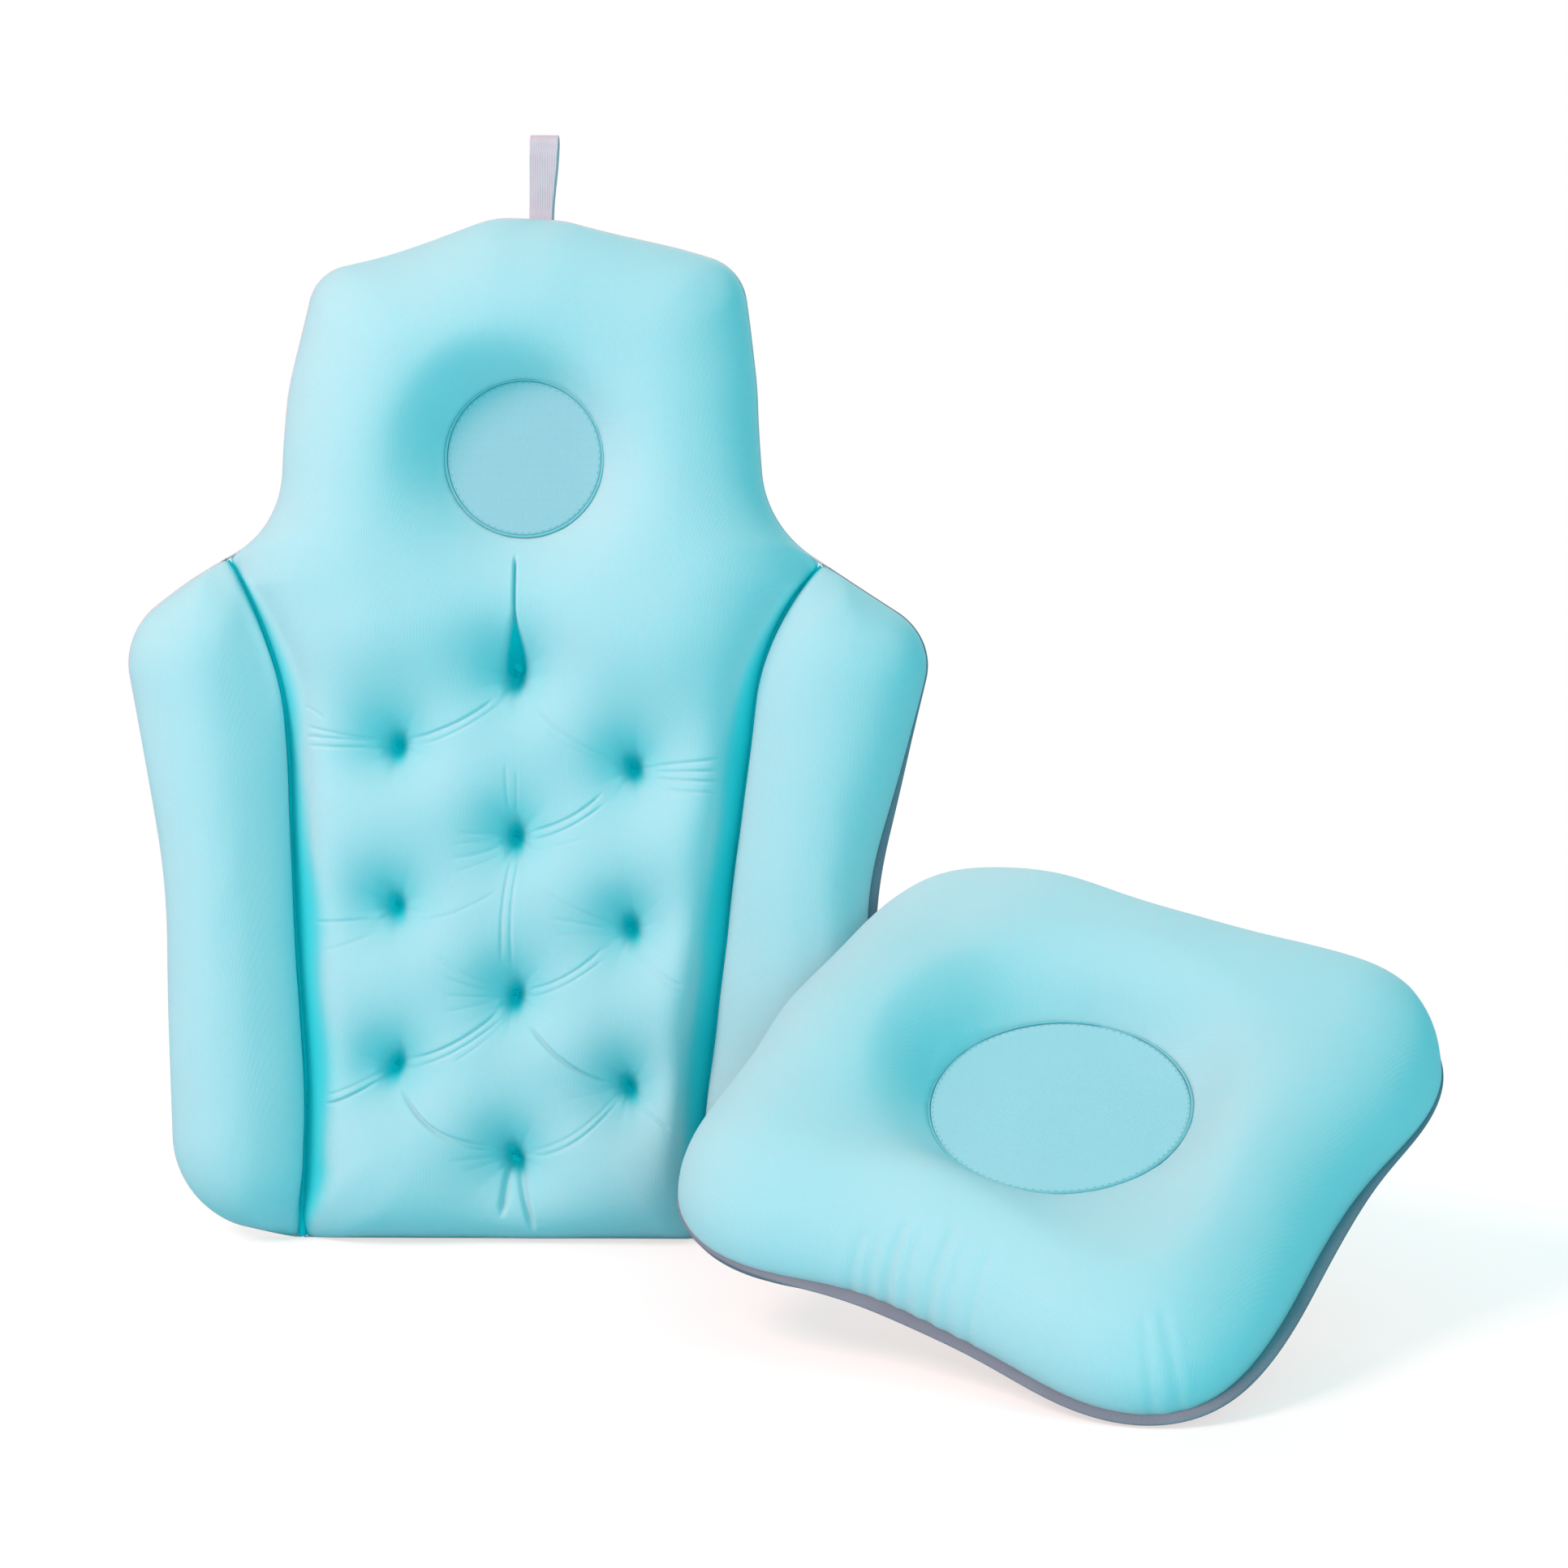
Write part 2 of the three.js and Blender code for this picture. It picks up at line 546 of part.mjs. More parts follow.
function bolster(side) {
  const low = bolsterEnd(panelBase + GAP, GAP);
  const high = bolsterEnd(junctionHeight - BINDING_DIAMETER, -GAP);
  const bend = sideHeights(side).filter((y) => y > CHANNEL_BEND_HEIGHT && y < high - BOLSTER_TIP);
  const straight = stepsTo(CHANNEL_BEND_HEIGHT, low, BOLSTER_STEPS, BOLSTER_EASE).reverse();
  const heights = [...straight, CHANNEL_BEND_HEIGHT, ...bend, high];
  const shares = [0, ...stepsTo(0, 1, BOLSTER_COLUMNS)].map((s) => (1 - Math.cos(Math.PI * s)) / 2);
  const grid = heights.map((height) => {
    const inner = halfWidthAt(bolsterSide, height);
    const outer = halfWidthAt(panelEdge, height);
    return shares.map((share) => new THREE.Vector2(THREE.MathUtils.lerp(inner, outer, share), height));
  });
  const innerEdge = grid.map((row) => row[0]);
  const outerEdge = grid.map((row) => row.at(-1));
  const seam = [...innerEdge, ...outerEdge.toReversed(), innerEdge[0]];
  const rim = GAP / 2 + COVER;
  const seamDistance = (x, y) => distanceTo(seam, Math.abs(x), y);
  const frontAt = (x, y) => rim + BOLSTER_CROWN * roll(seamDistance(x, y), BOLSTER_ROLL);
  const rearAt = (x, y) => -rim - REAR_CROWN * roll(seamDistance(x, y), REAR_ROLL);
  const own = side > 0 ? grid : grid.map((row) => row.map(mirrored).reverse());
  const core = own.slice(1, -1).map((row) => row.slice(1, -1));
  const foot = new THREE.Vector2(CHANNEL_BASE_HALF + channelRoom, BINDING_DIAMETER / 2);
  const shoulder = bindingLine.findLast((point) => point.y > junctionHeight - BINDING_DIAMETER);
  const line = [foot, ...moved(outerEdge, GAP + BINDING_DIAMETER / 2), shoulder];
  const binding = side > 0 ? line : line.map(mirrored);
  const prefix = side > 0 ? 'right_bolster' : 'left_bolster';
  return [
    piece(`${prefix}_front_panel`, frontCover(own, frontAt), AQUA),
    piece(`${prefix}_filling`, fillingBetween(core, rearAt, frontAt), WADDING),
    piece(`${prefix}_rear_panel`, rearCover(own, rearAt), GREY),
    piece(`${prefix}_binding`, cordAlong(binding, BINDING_DIAMETER), LILAC),
  ];
}

// Hanging loop: side profile of the folded ribbon, pinched at its rounded foot
function hangingLoop() {
  const foot = LOOP_PLY + GAP / 2;
  const belly = LOOP_OPENING / 2 + LOOP_PLY;
  const bellyHeight = LOOP_HEIGHT - belly;
  const middle = (LOOP_NECK + bellyHeight) / 2;
  const outer = new THREE.Shape();
  outer.moveTo(foot, 0);
  outer.lineTo(foot, LOOP_NECK);
  outer.bezierCurveTo(foot, middle, belly, middle, belly, bellyHeight);
  outer.absarc(0, bellyHeight, belly, 0, Math.PI);
  outer.bezierCurveTo(-belly, middle, -foot, middle, -foot, LOOP_NECK);
  outer.lineTo(-foot, 0);
  outer.absarc(0, 0, foot, Math.PI, 2 * Math.PI);
  const inner = new THREE.Path();
  const slit = foot - LOOP_PLY;
  inner.moveTo(slit, LOOP_NECK);
  inner.bezierCurveTo(slit, middle, belly - LOOP_PLY, middle, belly - LOOP_PLY, bellyHeight);
  inner.absarc(0, bellyHeight, belly - LOOP_PLY, 0, Math.PI);
  inner.bezierCurveTo(LOOP_PLY - belly, middle, -slit, middle, -slit, LOOP_NECK);
  outer.holes.push(inner);
  const ribbon = new THREE.ExtrudeGeometry(outer, {
    depth: LOOP_WIDTH,
    bevelEnabled: false,
    curveSegments: LOOP_FACETS,
  });
  ribbon.rotateY(Math.PI / 2);
  const mesh = piece('hanging_loop', ribbon, LILAC);
  mesh.position.set(LOOP_OFFSET - LOOP_WIDTH / 2, BACK_HEIGHT + GAP + foot, 0);
  return mesh;
}

// Seat cushion: reach of its drawn-in outline in one direction
function seatReach(angle) {
  const mean = (SEAT_CORNER_REACH + SEAT_SIDE_REACH) / 2 - SEAT_CORNER_FULLNESS;
  const swing = (SEAT_CORNER_REACH - SEAT_SIDE_REACH) / 2;
  const square = mean - swing * Math.cos(4 * angle) + SEAT_CORNER_FULLNESS * Math.cos(8 * angle);
  return square + SEAT_STRETCH * Math.cos(2 * (angle - THREE.MathUtils.degToRad(SEAT_STRETCH_TURN)));
}

function seatPanelReach(angle) {
  return seatReach(angle) - BINDING_DIAMETER - GAP;
}

function seatTop(x, y) {
  const angle = Math.atan2(y, x);
  const radius = Math.hypot(x, y);
  const rim = GAP / 2 + COVER;
  const inward = seatPanelReach(angle) - radius;
  if (inward < SEAT_ROLL) {
    const out = THREE.MathUtils.clamp(1 - inward / SEAT_ROLL, 0, 1);
    return rim + SEAT_CROWN * (1 - out ** SEAT_ROLL_SHOULDER) ** SEAT_ROLL_STEEPNESS;
  }
  const crestRadius = seatPanelReach(angle) - SEAT_ROLL;
  const dish = THREE.MathUtils.smoothstep(radius, SEAT_DISC_RADIUS, crestRadius);
  return THREE.MathUtils.lerp(SEAT_DISC_HEIGHT, rim + SEAT_CROWN, dish);
}

function seatUnder(x, y) {
  const inward = seatPanelReach(Math.atan2(y, x)) - Math.hypot(x, y);
  return -GAP / 2 - COVER - SEAT_UNDER_CROWN * roll(Math.max(inward, 0), SEAT_UNDER_ROLL);
}

// Rings of points round the seat's middle, from one radius out to its panel edge
function seatRings(fromRadius) {
  const sectors = Array.from({ length: SEAT_SECTORS }, (_, i) => (-2 * Math.PI * i) / SEAT_SECTORS);
  const ring = (radiusAt) => sectors.map((angle) => {
    return new THREE.Vector2(Math.cos(angle), Math.sin(angle)).multiplyScalar(radiusAt(angle));
  });
  const rings = [ring(() => fromRadius)];
  for (const share of stepsTo(0, 1, SEAT_RINGS, SEAT_EASE)) {
    rings.push(ring((angle) => THREE.MathUtils.lerp(fromRadius, seatPanelReach(angle), share)));
  }
  return rings;
}

function seatCushion() {
  const discRoom = SEAT_DISC_RADIUS + GAP;
  const outerRings = seatRings(discRoom);
  const middle = outerRings[0].map(() => new THREE.Vector2());
  const whole = [middle, ...outerRings];
  const filling = fillingBetween(whole.slice(0, -1), seatUnder, seatTop, true);
  const edge = outerRings.at(-1).toReversed();
  const line = edge.map((p) => p.clone().setLength(seatReach(p.angle()) - BINDING_DIAMETER / 2));
  const loop = new SeamLine(line, true);
  const binding = new THREE.TubeGeometry(loop, line.length, BINDING_DIAMETER / 2, CORD_SIDES, true);
  return [
    piece('seat_top_panel', frontCover(outerRings, seatTop, true), AQUA),
    piece('seat_filling', filling, WADDING),
    piece('seat_bottom_panel', rearCover(whole, seatUnder, true), GREY),
    piece('seat_binding', binding, LILAC),
    ...discPieces('seat', SEAT_DISC_RADIUS, SEAT_DISC_HEIGHT, new THREE.Vector2(), SEAT_SECTORS),
  ];
}

function placed(mesh) {
  mesh.updateWorldMatrix(true, false);
  return mesh.geometry.clone().applyMatrix4(mesh.matrixWorld);
}

// Presses a group's lowest edge flat and sets the group down on the floor
function standOnFloor(group) {
  group.updateMatrixWorld(true);
  const box = new THREE.Box3().setFromObject(group, true);
  const span = box.getSize(new THREE.Vector3());
  const floor = new THREE.BoxGeometry(span.x * 2, span.y * 2, span.z);
  const middle = box.getCenter(new THREE.Vector3());
  floor.translate(middle.x, middle.y, box.min.z + FLOOR_FLAT - span.z / 2);
  for (const mesh of group.children) {
    const low = new THREE.Box3().setFromObject(mesh, true).min.z;
    if (low >= box.min.z + FLOOR_FLAT) continue;
    mesh.geometry = cut(placed(mesh), floor).applyMatrix4(mesh.matrixWorld.clone().invert());
  }
  group.position.z -= box.min.z + FLOOR_FLAT;
  group.updateMatrixWorld(true);
}

// Slides the seat back until it all but touches the right bolster
function leanSeat(seat, back) {
  const named = (group, start) => group.children.filter((mesh) => mesh.name.startsWith(start));
  const bolsterSolids = named(back, 'right_bolster').map((mesh) => solidOf(placed(mesh)));
  const seatPieces = ['seat_top', 'seat_bottom', 'seat_binding'].flatMap((start) => named(seat, start));
  const touches = (y) => {
    seat.position.y = y;
    const solids = seatPieces.map((mesh) => solidOf(placed(mesh)));
    return solids.some((a) => bolsterSolids.some((b) => !a.intersect(b).isEmpty()));
  };
  let clear = -SEAT_START;
  let blocked = 0;
  while (blocked - clear > GAP / 4) {
    const y = (clear + blocked) / 2;
    if (touches(y)) blocked = y;
    else clear = y;
  }
  seat.position.y = clear - GAP;
}

const back = new THREE.Group();
back.add(...backCentre(), ...centreBindings(), ...channelCords(), ...bolster(-1), ...bolster(1));
back.add(hangingLoop());
back.rotation.x = THREE.MathUtils.degToRad(90 - BACK_LEAN);
standOnFloor(back);

const seat = new THREE.Group();
seat.add(...seatCushion());
const stance = [SEAT_SLOPE, SEAT_TIP, SEAT_TURN].map(THREE.MathUtils.degToRad);
seat.rotation.set(...stance);
seat.position.set(SEAT_ASIDE, -SEAT_START, 0);
standOnFloor(seat);
leanSeat(seat, back);

const cushionSet = new THREE.Group();
cushionSet.add(back, seat);
cushionSet.updateMatrixWorld(true);
const footprint = new THREE.Box3().setFromObject(cushionSet, true).getCenter(new THREE.Vector3());
back.position.sub(new THREE.Vector3(footprint.x, footprint.y, 0));
seat.position.sub(new THREE.Vector3(footprint.x, footprint.y, 0));
cushionSet.updateMatrixWorld(true);

export default cushionSet;
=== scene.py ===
import json
import math

import bmesh
import bpy
import numpy as np
from mathutils import Matrix, Quaternion, Vector, noise
from mathutils.kdtree import KDTree


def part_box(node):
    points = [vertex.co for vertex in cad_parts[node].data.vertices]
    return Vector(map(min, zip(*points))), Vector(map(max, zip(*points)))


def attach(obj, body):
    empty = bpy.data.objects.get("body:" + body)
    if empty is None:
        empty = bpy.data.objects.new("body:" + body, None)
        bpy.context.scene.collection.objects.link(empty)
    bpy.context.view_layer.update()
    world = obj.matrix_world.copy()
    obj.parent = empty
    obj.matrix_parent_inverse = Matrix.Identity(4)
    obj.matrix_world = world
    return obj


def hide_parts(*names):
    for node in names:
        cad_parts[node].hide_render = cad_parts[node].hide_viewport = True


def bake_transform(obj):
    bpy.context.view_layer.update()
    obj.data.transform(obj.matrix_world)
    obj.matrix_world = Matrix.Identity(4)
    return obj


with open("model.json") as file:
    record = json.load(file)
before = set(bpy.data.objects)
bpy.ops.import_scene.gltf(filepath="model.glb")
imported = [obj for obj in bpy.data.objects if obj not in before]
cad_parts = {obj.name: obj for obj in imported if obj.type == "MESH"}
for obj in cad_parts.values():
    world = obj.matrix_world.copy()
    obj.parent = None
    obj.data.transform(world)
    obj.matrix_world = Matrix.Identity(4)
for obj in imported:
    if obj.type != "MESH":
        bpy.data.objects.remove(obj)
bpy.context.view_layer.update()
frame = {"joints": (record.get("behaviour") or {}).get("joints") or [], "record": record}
scene = bpy.context.scene
scene.view_settings.view_transform = "Standard"
print("frame loaded")


# camera, lamps and floor

camera = {
    "lens": 80.12,
    "aim": (0.01425, 0.0, 0.2841),
    "distance": 1.85965,
    "elevation": 7.30,
    "roll": 0.21,
}

studio = {
    "keyPlace": (-1.98, -1.61, 2.41),
    "keySize": 1.2,
    "keyPower": 95.0,
    "keyColour": (1.0, 0.51, 0.485),
    "fillPlace": (0.4, -3.0, 1.0),
    "fillSize": 1.6,
    "fillPower": 27.0,
    "fillColour": (0.19, 1.0, 1.03),
    "rearPlace": (0.6, 2.6, 1.7),
    "rearSize": 1.6,
    "rearPower": 46.0,
    "rearColour": (1.0, 0.66, 0.60),
    "aim": (0.0, 0.05, 0.28),
    "skyStrength": 0.57,
    "skyColour": (0.22, 0.97, 1.06, 1.0),
    "floorHalf": 6.0,
    "floorColour": (0.42, 0.74, 0.80, 1.0),
    "floorSeen": (0.42, 0.45, 0.45, 1.0),
    "floorLift": (0.71, 0.63, 0.61, 1.0),
    "floorFadeFrom": 0.55,
    "floorFadeTo": 1.0,
}


def addNode(tree, kind, values=None, **settings):
    node = tree.nodes.new(kind)
    for name, value in settings.items():
        setattr(node, name, value)
    for name, value in (values or {}).items():
        node.inputs[name].default_value = value
    return node


def join(tree, start, out, end, into):
    tree.links.new(start.outputs[out], end.inputs[into])


def makeCamera():
    lift = math.radians(camera["elevation"])
    toward = Vector((0, -math.cos(lift), math.sin(lift)))
    eye = bpy.data.objects.new("eye", bpy.data.cameras.new("eye"))
    eye.data.lens = camera["lens"]
    eye.location = Vector(camera["aim"]) + toward * camera["distance"]
    eye.rotation_mode = "QUATERNION"
    roll = Quaternion((0, 0, 1), math.radians(camera["roll"]))
    eye.rotation_quaternion = (-toward).to_track_quat("-Z", "Y") @ roll
    scene.collection.objects.link(eye)
    scene.camera = eye


def makeLamp(name, place, size, power, colour):
    lamp = bpy.data.lights.new(name, "AREA")
    lamp.size = size
    lamp.energy = power
    lamp.color = colour
    holder = bpy.data.objects.new(name, lamp)
    holder.location = place
    holder.rotation_mode = "QUATERNION"
    holder.rotation_quaternion = (Vector(studio["aim"]) - Vector(place)).to_track_quat("-Z", "Y")
    scene.collection.objects.link(holder)


def seenDirectly(tree):
    path = addNode(tree, "ShaderNodeLightPath")
    both = addNode(tree, "ShaderNodeMath", operation="MAXIMUM")
    every = addNode(tree, "ShaderNodeMath", operation="MAXIMUM")
    join(tree, path, "Is Camera Ray", both, 0)
    join(tree, path, "Is Glossy Ray", both, 1)
    join(tree, both, 0, every, 0)
    join(tree, path, "Is Transmission Ray", every, 1)
    return every.outputs[0]


def makeSky():
    sky = bpy.data.worlds.new("studioSky")
    sky.use_nodes = True
    tree = sky.node_tree
    tree.nodes.clear()
    soft = addNode(tree, "ShaderNodeBackground", {"Strength": studio["skyStrength"]})
    white = addNode(tree, "ShaderNodeBackground", {"Strength": 1.0})
    soft.inputs["Color"].default_value = studio["skyColour"]
    white.inputs["Color"].default_value = (1, 1, 1, 1)
    mix = addNode(tree, "ShaderNodeMixShader")
    out = addNode(tree, "ShaderNodeOutputWorld")
    tree.links.new(seenDirectly(tree), mix.inputs[0])
    join(tree, soft, 0, mix, 1)
    join(tree, white, 0, mix, 2)
    join(tree, mix, 0, out, "Surface")
    scene.world = sky


def makeFloor():
    bm = bmesh.new()
    bmesh.ops.create_grid(bm, x_segments=1, y_segments=1, size=studio["floorHalf"])
    mesh = bpy.data.meshes.new("floor")
    bm.to_mesh(mesh)
    bm.free()
    floor = bpy.data.objects.new("floor", mesh)
    scene.collection.objects.link(floor)
    paint = bpy.data.materials.new("floorWhite")
    paint.use_nodes = True
    tree = paint.node_tree
    tree.nodes.clear()
    matt = addNode(tree, "ShaderNodeBsdfDiffuse", {"Color": studio["floorColour"]})
    seen = addNode(tree, "ShaderNodeBsdfDiffuse", {"Color": studio["floorSeen"]})
    glow = addNode(tree, "ShaderNodeEmission", {"Color": studio["floorLift"], "Strength": 1.0})
    white = addNode(tree, "ShaderNodeEmission", {"Strength": 1.0})
    lifted = addNode(tree, "ShaderNodeAddShader")
    join(tree, seen, 0, lifted, 0)
    join(tree, glow, 0, lifted, 1)
    # the floor near the object takes its shadow, and fades to plain white further out
    place = addNode(tree, "ShaderNodeTexCoord")
    away = addNode(tree, "ShaderNodeVectorMath", operation="LENGTH")
    fade = addNode(tree, "ShaderNodeMapRange", {
        "From Min": studio["floorFadeFrom"], "From Max": studio["floorFadeTo"],
    }, interpolation_type="SMOOTHSTEP")
    join(tree, place, "Object", away, 0)
    join(tree, away, "Value", fade, "Value")
    shown = addNode(tree, "ShaderNodeMixShader")
    join(tree, fade, "Result", shown, 0)
    join(tree, lifted, 0, shown, 1)
    join(tree, white, 0, shown, 2)
    mix = addNode(tree, "ShaderNodeMixShader")
    out = addNode(tree, "ShaderNodeOutputMaterial")
    tree.links.new(seenDirectly(tree), mix.inputs[0])
    join(tree, matt, 0, mix, 1)
    join(tree, shown, 0, mix, 2)
    join(tree, mix, 0, out, "Surface")
    mesh.materials.append(paint)


makeCamera()
for word in ("key", "rear", "fill"):
    makeLamp(word + "Lamp", *[studio[word + part] for part in ("Place", "Size", "Power", "Colour")])
makeSky()
makeFloor()
print("studio ready")


# finishes

finishes = {
    "aqua": (0.465, 0.676, 0.716, 1.0),
    "aquaPale": (0.50, 0.704, 0.741, 1.0),
    # painted shade: the deep teal that stands for the shade in pits, creases, beside the channels and on one
    # side of the dish walls
    "aquaPaintedShade": (0.003, 0.64, 0.69, 1.0),
    "disc": (0.40, 0.588, 0.642, 1.0),
    "discDark": (0.37, 0.558, 0.612, 1.0),
    "seatDisc": (0.415, 0.678, 0.732, 1.0),
    "seatDiscDark": (0.385, 0.645, 0.70, 1.0),
    "grey": (0.35, 0.29, 0.325, 1.0),
    "greyDark": (0.28, 0.23, 0.26, 1.0),
    "tape": (0.84, 0.60, 0.64, 1.0),
    "tapeDark": (0.74, 0.51, 0.56, 1.0),
    "hem": (0.31, 0.265, 0.31, 1.0),
    "hemDark": (0.25, 0.21, 0.255, 1.0),
    "thread": (0.004, 0.46, 0.52, 1.0),
    "threadPale": (0.008, 0.54, 0.60, 1.0),
    "rim": (0.22, 0.545, 0.595, 1.0),
    "rimPale": (0.26, 0.595, 0.65, 1.0),
}

# pale and dark finish, turn of the threads in radians to the metre, then the scale of the fuzz,
# the strength of the relief and the scale of the mottling
cloths = {
    "aquaStretch": ("aquaPale", "aqua", 4200.0, 700.0, 0.15, 9.0),
    "discCloth": ("disc", "discDark", 5200.0, 900.0, 0.3, 14.0),
    "seatDiscCloth": ("seatDisc", "seatDiscDark", 5200.0, 900.0, 0.3, 14.0),
    "greyBacking": ("grey", "greyDark", 3400.0, 800.0, 0.4, 12.0),
    "lilacTape": ("tape", "tapeDark", 4600.0, 900.0, 0.45, 40.0),
    "hemTape": ("hem", "hemDark", 4200.0, 900.0, 0.4, 30.0),
    "tealThread": ("threadPale", "thread", 7000.0, 1500.0, 0.5, 60.0),
    "rimThread": ("rimPale", "rim", 7000.0, 1500.0, 0.5, 60.0),
}

weaving = {
    "fuzzDetail": 3.0,
    "fuzzRoughness": 0.6,
    "threadHeight": 0.5,
    "shadeFrom": 0.1,
    "shadeTo": 0.9,
    "shadeShare": 0.35,
    "mottleDetail": 2.0,
    "mottleFrom": 0.35,
    "mottleTo": 0.7,
    "mottleShare": 0.6,
    "relief": 0.0004,
    "roughness": 0.85,
    "specular": 0.03,
    "underWeight": 0.3,
    "underRadius": (0.03, 0.9, 1.0),
    "underScale": 0.012,
}


def makeWeaveGroup():
    group = bpy.data.node_groups.new("clothWeave", "ShaderNodeTree")
    for name, kind in (("Vector", "Vector"), ("Threads", "Float"), ("Fuzz", "Float")):
        group.interface.new_socket(name, in_out="INPUT", socket_type="NodeSocket" + kind)
    for name in ("Height", "Shade"):
        group.interface.new_socket(name, in_out="OUTPUT", socket_type="NodeSocketFloat")
    start = addNode(group, "NodeGroupInput")
    end = addNode(group, "NodeGroupOutput")
    apart = addNode(group, "ShaderNodeSeparateXYZ")
    cross = addNode(group, "ShaderNodeMath", operation="MULTIPLY")
    join(group, start, "Vector", apart, 0)
    for i, axis in enumerate("XY"):
        turns = addNode(group, "ShaderNodeMath", operation="MULTIPLY")
        wave = addNode(group, "ShaderNodeMath", operation="SINE")
        join(group, apart, axis, turns, 0)
        join(group, start, "Threads", turns, 1)
        join(group, turns, 0, wave, 0)
        join(group, wave, 0, cross, i)
    fuzz = addNode(group, "ShaderNodeTexNoise", {
        "Detail": weaving["fuzzDetail"], "Roughness": weaving["fuzzRoughness"]})
    join(group, start, "Vector", fuzz, "Vector")
    join(group, start, "Fuzz", fuzz, "Scale")
    height = addNode(group, "ShaderNodeMath", {1: weaving["threadHeight"]}, operation="MULTIPLY_ADD")
    join(group, cross, 0, height, 0)
    join(group, fuzz, "Fac", height, 2)
    # painted shade: the low points between the threads are painted darker, the crowns paler
    shade = addNode(group, "ShaderNodeMapRange", {
        "From Min": weaving["shadeFrom"], "From Max": weaving["shadeTo"]})
    join(group, height, 0, shade, "Value")
    join(group, height, 0, end, "Height")
    join(group, shade, "Result", end, "Shade")
    return group


weaveGroup = makeWeaveGroup()


def clothMaterial(name):
    pale, dark, threads, fuzz, bump, mottle = cloths[name]
    cloth = bpy.data.materials.new(name)
    cloth.use_nodes = True
    tree = cloth.node_tree
    shader = tree.nodes["Principled BSDF"]
    place = addNode(tree, "ShaderNodeTexCoord")
    weave = addNode(tree, "ShaderNodeGroup", {"Threads": threads, "Fuzz": fuzz}, node_tree=weaveGroup)
    join(tree, place, "Object", weave, "Vector")
    clouds = addNode(tree, "ShaderNodeTexNoise", {"Scale": mottle, "Detail": weaving["mottleDetail"]})
    join(tree, place, "Object", clouds, "Vector")
    # the colour runs from the dark to the pale finish with the painted weave shade and a slow random mottling
    share = addNode(tree, "ShaderNodeMath", operation="ADD", use_clamp=True)
    part = addNode(tree, "ShaderNodeMath", {1: weaving["shadeShare"]}, operation="MULTIPLY")
    join(tree, weave, "Shade", part, 0)
    join(tree, part, 0, share, 0)
    spread = addNode(tree, "ShaderNodeMapRange", {
        "From Min": weaving["mottleFrom"], "From Max": weaving["mottleTo"], "To Max": weaving["mottleShare"]})
    join(tree, clouds, "Fac", spread, "Value")
    join(tree, spread, "Result", share, 1)
    colour = addNode(tree, "ShaderNodeMix", {6: finishes[dark], 7: finishes[pale]}, data_type="RGBA")
    join(tree, share, 0, colour, 0)
    relief = addNode(tree, "ShaderNodeBump", {"Strength": bump, "Distance": weaving["relief"]})
    join(tree, weave, "Height", relief, "Height")
    join(tree, relief, "Normal", shader, "Normal")
    join(tree, colour, 2, shader, "Base Color")
    shader.inputs["Roughness"].default_value = weaving["roughness"]
    shader.inputs["Specular IOR Level"].default_value = weaving["specular"]
    return cloth, tree, shader, colour


def makeAqua():
    cloth, tree, shader, colour = clothMaterial("aquaStretch")
    # painted shade: a mesh attribute mixes the cloth towards the deep teal where the shade falls
    paintedShade = addNode(tree, "ShaderNodeAttribute", attribute_name="paintedShade")
    paintShade = addNode(tree, "ShaderNodeMix", {7: finishes["aquaPaintedShade"]}, data_type="RGBA")
    join(tree, paintedShade, "Fac", paintShade, 0)
    join(tree, colour, 2, paintShade, 6)
    join(tree, paintShade, 2, shader, "Base Color")
    shader.inputs["Subsurface Weight"].default_value = weaving["underWeight"]
    shader.inputs["Subsurface Radius"].default_value = weaving["underRadius"]
    shader.inputs["Subsurface Scale"].default_value = weaving["underScale"]
    return cloth


aquaStretch = makeAqua()
discCloth = clothMaterial("discCloth")[0]
seatDiscCloth = clothMaterial("seatDiscCloth")[0]
greyBacking = clothMaterial("greyBacking")[0]
lilacTape = clothMaterial("lilacTape")[0]
hemTape = clothMaterial("hemTape")[0]
tealThread = clothMaterial("tealThread")[0]
rimThread = clothMaterial("rimThread")[0]
print("finishes ready")


# the two cushions' own frames: x across, y up the cushion, z out of its front

stance = {
    "hingeHeight": 0.180,
    "seatSlope": 27.6,
    "seatTip": -4.5,
    "seatTurn": -30.8,
    "seatDiscMiddle": 0.02025,
}


def placeBack():
    hinges = [Vector(j["pos_m"]) for j in frame["joints"] if j["name"].endswith("bolster_fold")]
    rearFace = next(m for m in frame["record"]["mounts"] if m["name"] == "rear_face")
    facing = -Vector(rearFace["axis"])
    across = Vector((1, 0, 0))
    up = facing.cross(across)
    place = Matrix((across, up, facing)).transposed().to_4x4()
    place.translation = (hinges[0] + hinges[1]) / 2 - up * stance["hingeHeight"]
    return place


def placeSeat():
    slope = Matrix.Rotation(math.radians(stance["seatSlope"]), 4, "X")
    tip = Matrix.Rotation(math.radians(stance["seatTip"]), 4, "Y")
    turn = Matrix.Rotation(math.radians(stance["seatTurn"]), 4, "Z")
    place = slope @ tip @ turn
    low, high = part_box("seat_disc")
    lift = place.to_3x3() @ Vector((0, 0, stance["seatDiscMiddle"]))
    place.translation = (low + high) / 2 - lift
    return place


backPlace = placeBack()
seatPlace = placeSeat()


# flat lines

lineStep = {"edge": 0.002, "pad": 0.003, "search": 0.0005, "base": 0.004}
tiny = 1e-9


